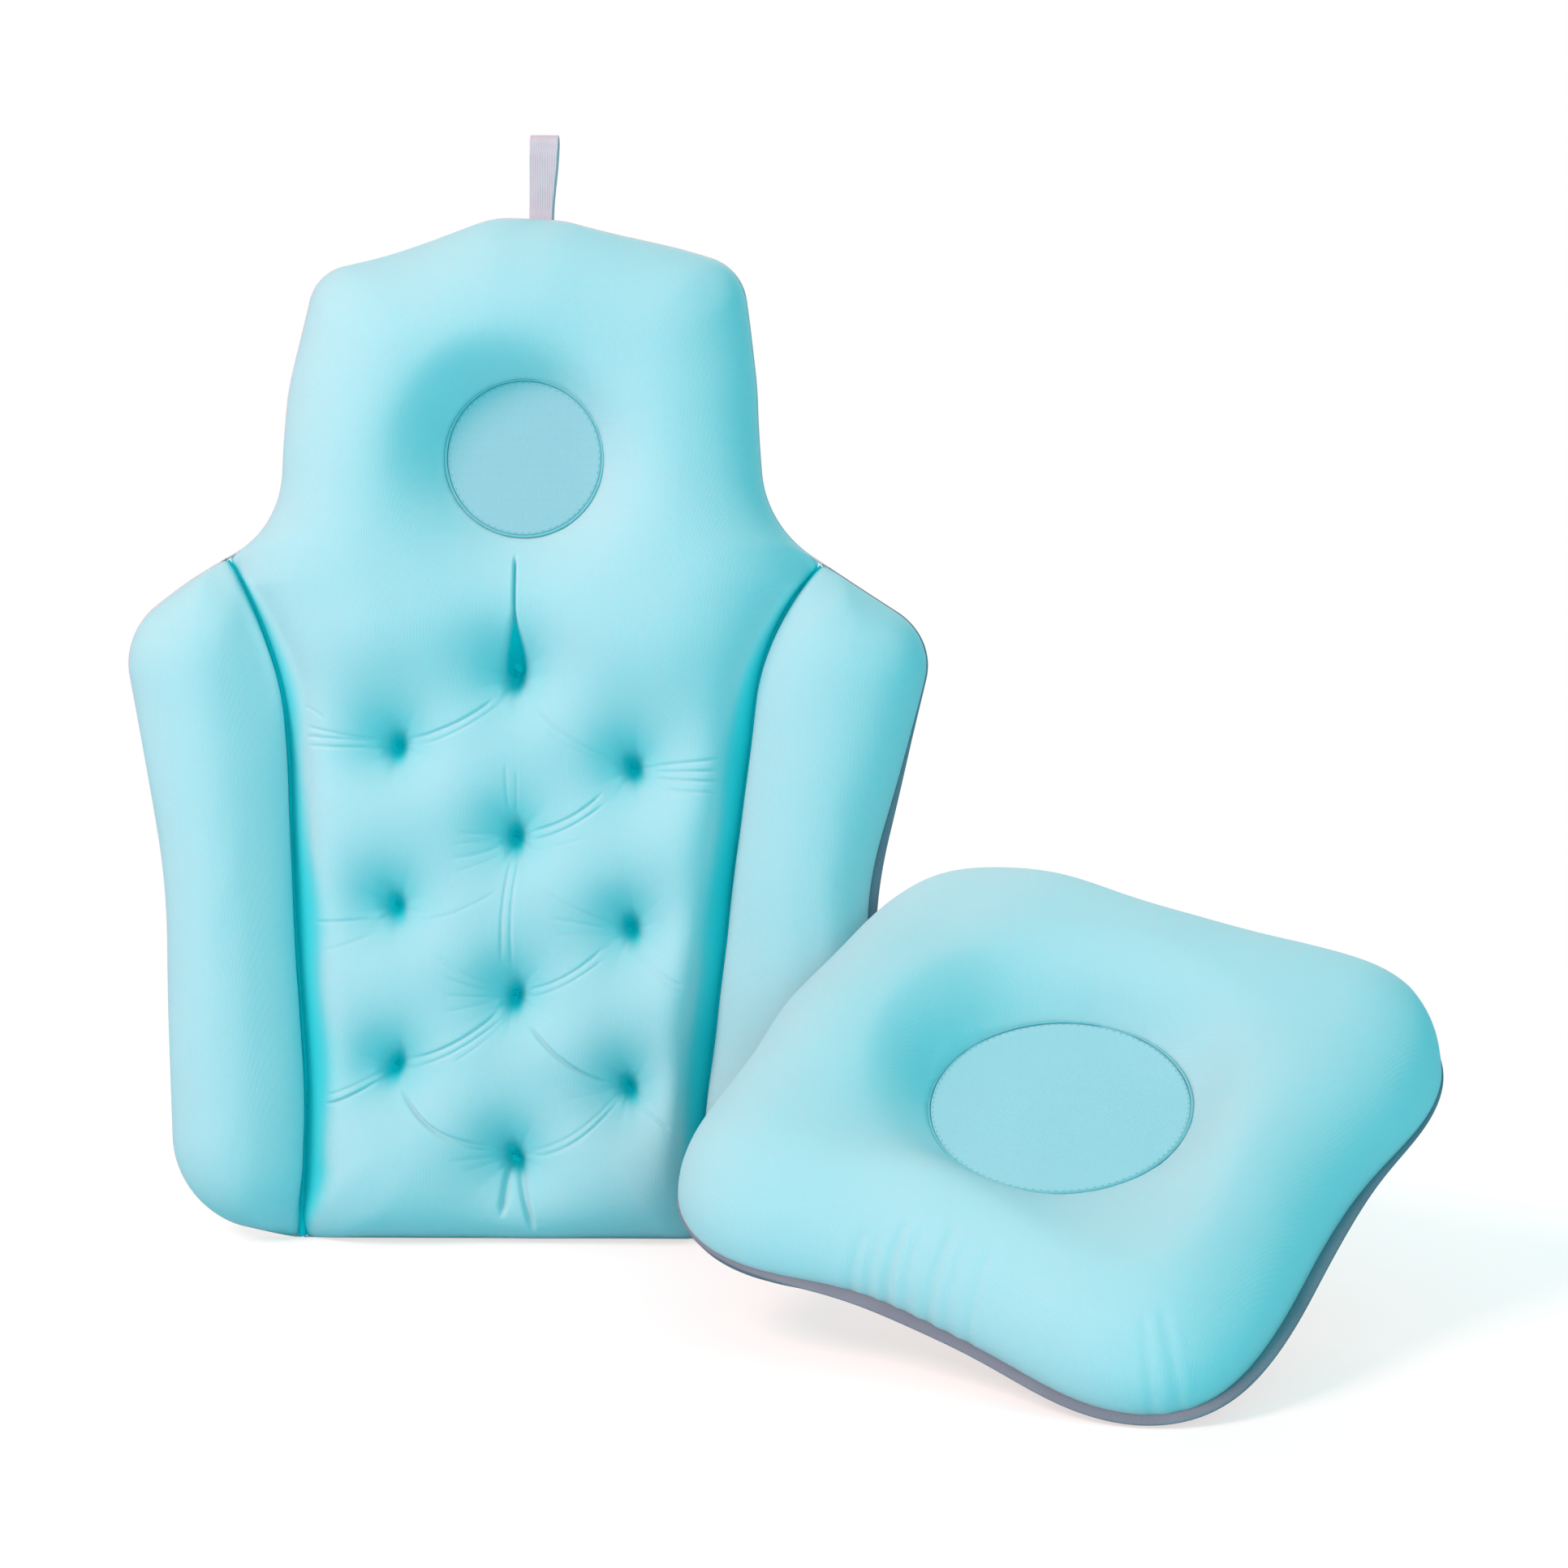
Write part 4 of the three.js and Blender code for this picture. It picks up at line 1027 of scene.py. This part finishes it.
def drapeCentre(pad):
    mesh = pad.data
    co = readPoints(mesh)
    front = readNormals(mesh)[:, 2] > 0
    xy = co[:, :2].copy()
    sunk = pressFolds(xy, folds["lines"], folds["width"])
    paintedShade = pressTufts(xy, sunk)
    dart = pressDart(xy)
    sunk = np.maximum(sunk, dart)
    for pleat in folds["pleats"]:
        sunk += pressPleat(xy, pleat)
    co[:, 2] -= front * sunk
    co[:, 2] -= front * discRecess(xy, headDish)
    side = np.abs(xy[:, 0]) - (channelX(xy[:, 1]) - back["channelGap"])
    # painted shade: the pits and their halos, the dart's slit, one side of the dish wall and the strips
    # beside the channels
    shades = (paintedShade, smooth(dart / folds["dartShade"]), wallShade(xy, headDish), channelPaintedShade(xy, side))
    over = (side > 0) & (xy[:, 1] < back["junction"])
    co[over, 0] -= np.sign(co[over, 0]) * side[over]
    co[front, 2] = np.maximum(co[front, 2], back["clear"])
    writePoints(mesh, strayBack(co))
    setAttribute(mesh, "paintedShade", front * np.max(shades, axis=0))


centrePad = makeCentre()
sharpen(centrePad)
drapeCentre(centrePad)
dress(centrePad, backPlace, "back_cushion", "back_front_panel", "back_filling", "back_rear_panel")
print("centre pad made")


# side bolsters

bolster = {
    "front": {"crown": 0.041, "roll": 0.046},
    "rear": {"crown": 0.0135, "roll": 0.024},
    "seed": 4,
    "foldZone": 0.040,
    "channelShade": 0.0022,
    "channelShadeWeight": 0.8,
    "channelPower": 3,
}


def makeBolster(name, side):
    outline = bolsterOutline(side)
    pad = slabPad(name, outline)
    tips = [outline[0], outline[-1]][::side] + [(side * channel[-1, 0], back["hem"])]
    stuff(pad, outline, bolster, tips)
    refine(pad)
    soften(pad, bolster["seed"] + side)
    mesh = pad.data
    co = readPoints(mesh)
    front = readNormals(mesh)[:, 2] > 0
    inside = np.abs(co[:, 0]) - (channelX(co[:, 1]) + back["channelGap"])
    over = (inside < 0) & (co[:, 1] < back["junction"])
    co[over, 0] -= np.sign(co[over, 0]) * inside[over]
    # painted shade along the bolster's edge at the bottom of the channel
    shade = np.exp(-(np.maximum(inside, 0) / bolster["channelShade"]) ** bolster["channelPower"])
    writePoints(mesh, strayBack(co))
    setAttribute(mesh, "paintedShade", front * bolster["channelShadeWeight"] * shade)
    return pad


for side, word in ((-1, "left"), (1, "right")):
    pad = makeBolster(word + "BolsterPad", side)
    parts = ("front_panel", "filling", "rear_panel")
    dress(pad, backPlace, None, *[f"{word}_bolster_{part}" for part in parts])
    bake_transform(pad)
    print(word, "bolster made")


# seat cushion

seat = {
    "points": 721,
    "side": 0.1725,
    "corner": 0.216,
    "fullness": 0.0038,
    "stretch": 0.0065,
    "stretchTurn": -21.0,
    "hem": 0.0005,
    "hemNear": [(-102, 18, 0.0062), (-72, 28, 0.0046), (-38, 30, 0.0040), (-2, 26, 0.0050)],
    "puckers": [
        (-44, -178, -41, -162, -38, -140, 1.0), (-33, -176, -31, -160, -31, -142, 0.8),
        (-21, -175, -20, -158, -18, -130, 1.2), (-8, -174, -8, -160, -10, -136, 0.9),
        (5, -174, 5, -156, 8, -126, 1.2), (18, -175, 18, -160, 16, -138, 0.8),
        (31, -177, 30, -160, 31, -132, 1.0),
        (139, -166, 130, -152, 120, -136, 0.8), (151, -158, 141, -146, 128, -130, 0.9),
    ],
    "puckerWidth": 0.0026,
    "puckerZone": (-0.06, -0.12),
    "front": {"crown": 0.050, "roll": 0.057},
    "rear": {"crown": 0.0195, "roll": 0.026},
    "seed": 9,
    "swells": [
        (172, 0, 60, 70, -12, 0, 0), (-15, -172, 70, 60, 0, 5, -2), (40, 115, 110, 70, 0, 5, 12),
        (145, 150, 60, 60, -3, 4, 4), (-140, -145, 50, 50, 3, 3, 0), (160, -108, 50, 55, -8, 1, 0),
        (-115, 5, 55, 85, 0, 0, 12),
        (-132, 118, 40, 50, 0, 0, -5), (-72, 130, 42, 55, 0, 2, 5), (100, -155, 60, 50, 0, -5, 0),
    ],
}

seatDish = {
    "centre": (0.0, 0.0),
    "radius": 0.070,
    "height": 0.021,
    "power": (1.5, 5.5),
    "steepAt": 125.0,
    "recess": 0.003,
    "rimReach": 0.0015,
    "shade": (0.24, 190.0, 45.0, 0.034),
}


def straySeat(co):
    return uneven(co, seat["swells"], seatDish)


def seatReach(angle):
    mean = (seat["corner"] + seat["side"]) / 2 - seat["fullness"]
    swing = (seat["corner"] - seat["side"]) / 2
    turn = math.radians(seat["stretchTurn"])
    return (mean - swing * np.cos(4 * angle) + seat["fullness"] * np.cos(8 * angle)
            + seat["stretch"] * np.cos(2 * (angle - turn)))


def seatEdge():
    angle = np.linspace(0, 2 * math.pi, seat["points"])
    line = np.column_stack((np.cos(angle), np.sin(angle))) * seatReach(angle)[:, None]
    return evenly(line, lineStep["edge"])[:-1]


def seatHem(line):
    angle = np.degrees(np.arctan2(line[:, 1], line[:, 0]))
    width = np.full(len(line), seat["hem"])
    for middle, spread, extra in seat["hemNear"]:
        width += extra * np.exp(-((angle - middle) / spread) ** 2)
    return width


def makeSeat():
    edge = seatEdge()
    outline = shifted(edge, -seatHem(edge))
    pad = slabPad("seatPad", outline)
    top, bottom = stuff(pad, outline, seat)
    co = readPoints(pad.data)
    crest = seatReach(np.arctan2(co[:, 1], co[:, 0])) - seat["front"]["roll"]
    pressDish(co, top, crest - seatDish["radius"], seatDish)
    writePoints(pad.data, co)
    left, high = seat["puckerZone"]
    refine(pad, lambda p: p.z > 0 and (besideDisc(p, seatDish) or p.x > left and p.y < high))
    soften(pad, seat["seed"])
    co = readPoints(pad.data)
    normals = readNormals(pad.data)
    front = normals[:, 2] > 0
    puckered = front * pressFolds(co[:, :2], seat["puckers"], seat["puckerWidth"])
    co[:, 2] -= front * discRecess(co, seatDish)
    co -= normals * puckered[:, None]
    writePoints(pad.data, straySeat(co))
    # painted shade on one side of the dish wall round the seat disc
    setAttribute(pad.data, "paintedShade", front * wallShade(co[:, :2], seatDish))
    return pad


seatPad = makeSeat()
dress(seatPad, seatPlace, "seat_cushion", "seat_top_panel", "seat_filling", "seat_bottom_panel")
print("seat made")


# sewn-in discs with their bead and stitching

discs = {
    "segments": 96,
    "rings": 3,
    "lip": 0.0016,
    "clear": 0.0008,
    "bead": 0.0008,
    "beadSides": 8,
    "beadSteps": 120,
    "beadRise": 0.0004,
    "beadInset": 0.0005,
    "stitchInset": 0.0027,
    "stitchLength": 0.0026,
    "stitchPitch": 0.0040,
    "stitchRadius": 0.00045,
    "stitchSunk": 0.00022,
    "stitchFaces": (6, 4),
}


def makeDisc(name, dish, place, body, node, finish):
    bm = bmesh.new()
    rim = dish["radius"] - discs["clear"]
    bmesh.ops.create_circle(bm, cap_ends=True, segments=discs["segments"], radius=rim)
    bmesh.ops.translate(bm, verts=bm.verts[:], vec=(0, 0, -discs["lip"]))
    bm.faces.ensure_lookup_table()
    middle = bm.faces[0]
    step = rim / (discs["rings"] + 1)
    bmesh.ops.inset_region(bm, faces=[middle], use_boundary=True, use_even_offset=True,
                           thickness=discs["lip"] / 2, depth=discs["lip"])
    for width in [discs["lip"] / 2] + [step] * discs["rings"]:
        bmesh.ops.inset_region(bm, faces=[middle], use_boundary=True, use_even_offset=True, thickness=width)
    bmesh.ops.poke(bm, faces=[middle])
    outline = [e for e in bm.edges if e.is_boundary]
    skirt = bmesh.ops.extrude_edge_only(bm, edges=outline)
    low = [v for v in skirt["geom"] if isinstance(v, bmesh.types.BMVert)]
    bmesh.ops.translate(bm, verts=low, vec=(0, 0, -discs["lip"] / 2))
    bmesh.ops.contextual_create(bm, geom=low)
    bmesh.ops.recalc_face_normals(bm, faces=bm.faces[:])
    bmesh.ops.translate(bm, verts=bm.verts[:], vec=(*dish["centre"], dish["height"]))
    sew(newPiece(name, bm), place, finish, "blue_disc", body, node)


def ringStitches(name, dish, place, body, node):
    bm = bmesh.new()
    upright = Matrix.Rotation(math.pi / 2, 4, "X")
    bmesh.ops.create_circle(bm, segments=discs["beadSides"], radius=discs["bead"],
                            matrix=Matrix.Translation((dish["radius"] - discs["beadInset"], 0, 0)) @ upright)
    bmesh.ops.spin(bm, geom=bm.verts[:] + bm.edges[:], cent=(0, 0, 0), axis=(0, 0, 1),
                   angle=2 * math.pi, steps=discs["beadSteps"], use_merge=True)
    bmesh.ops.translate(bm, verts=bm.verts[:], vec=(*dish["centre"], dish["height"] + discs["beadRise"]))
    run = dish["radius"] - discs["stitchInset"]
    count = round(2 * math.pi * run / discs["stitchPitch"])
    middle = Matrix.Translation((*dish["centre"], dish["height"] - discs["stitchSunk"]))
    stitch = Matrix.Diagonal((1, discs["stitchLength"] / discs["stitchRadius"] / 2, 1, 1))
    for i in range(count):
        turn = Matrix.Rotation(2 * math.pi * i / count, 4, "Z")
        spot = middle @ turn @ Matrix.Translation((run, 0, 0)) @ stitch
        addBead(bm, discs["stitchFaces"], discs["stitchRadius"], spot)
    bmesh.ops.recalc_face_normals(bm, faces=bm.faces[:])
    sew(newPiece(name, bm), place, rimThread, "teal_thread", body, node)


makeDisc("headDisc", headDish, backPlace, "back_cushion", "head_disc", discCloth)
ringStitches("headDiscStitches", headDish, backPlace, "back_cushion", "head_disc_stitch")
makeDisc("seatDisc", seatDish, seatPlace, "seat_cushion", "seat_disc", seatDiscCloth)
ringStitches("seatDiscStitches", seatDish, seatPlace, "seat_cushion", "seat_disc_stitch")
print("discs made")


# bindings round the edges and cords along the channels

binding = {
    "thick": 0.0026,
    "overlap": 0.0008,
    "sides": 3,
    "crownPast": 3,
    "cornerClear": 0.0005,
    "cord": 0.0020,
    "cordRise": 0.0040,
    "cordFoot": 0.0012,
    "cordSpans": (0.04, 0.06),
    "cordTip": (0.3, 0.03),
}


def cordAlong(name, points, radius, closed, share=None):
    line = bpy.data.curves.new(name, "CURVE")
    line.dimensions = "3D"
    line.bevel_depth = radius
    line.bevel_resolution = binding["sides"]
    line.use_fill_caps = True
    path = line.splines.new("POLY")
    path.points.add(len(points) - 1)
    for i, (point, spot) in enumerate(zip(path.points, points)):
        point.co = (*spot, 1)
        point.radius = 1.0 if share is None else float(share[i])
    path.use_cyclic_u = closed
    holder = bpy.data.objects.new(name + "Line", line)
    scene.collection.objects.link(holder)
    deps = bpy.context.evaluated_depsgraph_get()
    mesh = bpy.data.meshes.new_from_object(holder.evaluated_get(deps))
    bpy.data.objects.remove(holder)
    piece = bpy.data.objects.new(name, mesh)
    scene.collection.objects.link(piece)
    return piece


def bind(name, edge, width, place, stray, node, body, finish=lilacTape, closed=False):
    half = (width + binding["overlap"]) / 2
    path = shifted(edge, half)
    radius = binding["thick"] / 2
    tape = cordAlong(name, [(x, y, 0) for x, y in path], radius, closed)
    # the round cord is pressed into a flat folded tape as wide as the hem
    co = readPoints(tape.data)
    near = nearestOn(path, co)
    co[:, :2] = path[near] + (co[:, :2] - path[near]) * (half[near] / radius)[:, None]
    writePoints(tape.data, stray(co))
    sew(tape, place, finish, "lilac_tape", body, node)
    return tape


def makeCord(name, line, node):
    # the sewn-down strip lies some way up the groove and sinks to the edge at both ends
    above, below = line[:, 1] - line[:, 1].min(), line[:, 1].max() - line[:, 1]
    footSpan, topSpan = binding["cordSpans"]
    rise = binding["cordRise"] * smooth(0.5 + above / footSpan) * smooth(below / topSpan)
    thin, tipSpan = binding["cordTip"]
    share = thin + (1 - thin) * smooth(below / tipSpan)
    spots = [(x, y, z + binding["cordFoot"]) for (x, y), z in zip(line, rise)]
    cord = cordAlong(name, spots, binding["cord"], False, share)
    writePoints(cord.data, strayBack(readPoints(cord.data)))
    sew(cord, backPlace, tealThread, "teal_thread", "back_cushion", node)


pastJunction = junctionAt + binding["crownPast"]
crownEdge = np.vstack((mirrored(backEdge[:pastJunction]), backEdge[1:pastJunction]))
bind("crownBinding", crownEdge, np.full(len(crownEdge), back["hem"]), backPlace, strayBack,
     "crown_binding", "back_cushion")
baseEdge = evenly([(back["channelBase"][0], 0), (-back["channelBase"][0], 0)], lineStep["base"])
bind("baseBinding", baseEdge, np.full(len(baseEdge), back["hem"]), backPlace, strayBack,
     "base_binding", "back_cushion")
fromFoot, fromJunction = back["channelEnds"]
inChannel = (channel[:, 1] > fromFoot) & (channel[:, 1] < back["junction"] - fromJunction)
for side, word in ((-1, "left"), (1, "right")):
    edge = backEdge[junctionAt:]
    edge = edge[edge[:, 0] > back["channelBase"][0] + binding["cornerClear"]]
    width = hemWidth(edge[:, 1], side)
    if side < 0:
        edge, width = mirrored(edge), width[::-1]
    tape = bind(word + "BolsterBinding", edge, width, backPlace, strayBack, word + "_bolster_binding", None,
                hemTape if side > 0 else lilacTape)
    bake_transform(tape)
    makeCord(word + "ChannelCord", channel[inChannel] * (side, 1), word + "_channel_seam")
edge = seatEdge()
bind("seatBinding", edge[::-1], seatHem(edge)[::-1], seatPlace, straySeat,
     "seat_binding", "seat_cushion", hemTape, closed=True)
print("bindings made")


# tuft ties: a thread through the filling with a knot at each end

tie = {
    "thread": 0.0009,
    "knot": 0.0021,
    "knotFlat": 0.7,
    "bars": 0.0045,
    "barTurns": (0.5, 2.1),
    "near": 0.003,
    "top": 0.006,
    "low": -0.003,
    "knotFaces": (12, 8),
    "barFaces": (10, 6),
    "threadFaces": 8,
}


def makeTies():
    flat = np.array(backPlace.inverted())
    surface = readPoints(centrePad.data) @ flat[:3, :3].T + flat[:3, 3]
    bm = bmesh.new()
    long = Matrix.Diagonal((tie["bars"] / tie["thread"], 1, 1, 1))
    spots = strayBack(np.array([(x, y, 0) for x, y in tufts["places"]]))
    for x, y in spots[:, :2]:
        heights = surface[distance(surface, (x, y)) < tie["near"], 2]
        top = heights[heights > 0].min() if (heights > 0).any() else tie["top"]
        low = heights[heights < 0].min() if (heights < 0).any() else tie["low"]
        for spot, sign in ((top, 1), (low, -1)):
            knot = Matrix.Translation((x, y, spot)) @ Matrix.Diagonal((1, 1, tie["knotFlat"], 1))
            addBead(bm, tie["knotFaces"], tie["knot"], knot)
            lie = Matrix.Translation((x, y, spot + sign * tie["thread"] / 2))
            for turn in tie["barTurns"]:
                bar = lie @ Matrix.Rotation(turn, 4, "Z") @ long
                addBead(bm, tie["barFaces"], tie["thread"], bar)
        run = Matrix.Translation((x, y, (top + low) / 2))
        bmesh.ops.create_cone(bm, cap_ends=True, segments=tie["threadFaces"], depth=top - low,
                              radius1=tie["thread"], radius2=tie["thread"], matrix=run)
    nodes = [f"tuft_tie_{i:02d}" for i in range(1, len(spots) + 1)]
    sew(newPiece("tuftTies", bm), backPlace, tealThread, "teal_thread", "back_cushion", *nodes)


makeTies()
print("ties made")


# hanging loop

loop = {
    "middle": 0.009,
    "width": 0.0165,
    "foot": 0.592,
    "height": 0.0502,
    "belly": 0.0046,
    "ply": 0.0011,
    "neck": 0.0008,
    "neckFrom": -0.001,
    "neckTo": 0.006,
    "side": [(0.0012, 0.012), (0.0028, 0.022), (0.0042, 0.033)],
    "bendFrom": 0.4,
    "bendPoints": 6,
    "skew": 0.0011,
    "taper": 0.0032,
    "taperHeight": 0.045,
    "edge": 0.0003,
}


def makeLoop():
    belly = loop["belly"]
    top = loop["height"] - belly - loop["ply"]
    neck = [(loop["neck"], loop["neckFrom"]), (loop["neck"], loop["neckTo"])]
    side = neck + loop["side"] + [(belly, top)]
    bend = np.linspace(loop["bendFrom"], math.pi - loop["bendFrom"], loop["bendPoints"])
    arc = [(belly * math.cos(a), top + belly * math.sin(a)) for a in bend]
    profile = side + arc + [(-z, h) for z, h in side[::-1]]
    bm = bmesh.new()
    verts = []
    for i, (z, h) in enumerate(profile):
        across = loop["middle"] - loop["width"] / 2 + loop["skew"] * i / (len(profile) - 1)
        verts.append(bm.verts.new((across, loop["foot"] + h, z)))
    edges = [bm.edges.new(pair) for pair in zip(verts, verts[1:])]
    wide = bmesh.ops.extrude_edge_only(bm, edges=edges)
    far = [v for v in wide["geom"] if isinstance(v, bmesh.types.BMVert)]
    for v in far:
        narrow = 1 - float(smooth((v.co.y - loop["foot"]) / loop["taperHeight"]))
        v.co.x += loop["width"] - loop["taper"] * narrow
    bmesh.ops.recalc_face_normals(bm, faces=bm.faces[:])
    ribbon = newPiece("hangingLoop", bm)
    wall = ribbon.modifiers.new("ply", "SOLIDIFY")
    wall.thickness = loop["ply"]
    wall.offset = 0
    edge = ribbon.modifiers.new("edge", "BEVEL")
    edge.width = loop["edge"]
    edge.segments = 2
    soft = ribbon.modifiers.new("soft", "SUBSURF")
    soft.levels = soft.render_levels = 2
    applyModifiers(ribbon)
    sew(ribbon, backPlace, lilacTape, "lilac_tape", "hanging_loop", "hanging_loop")


makeLoop()
print("loop made")
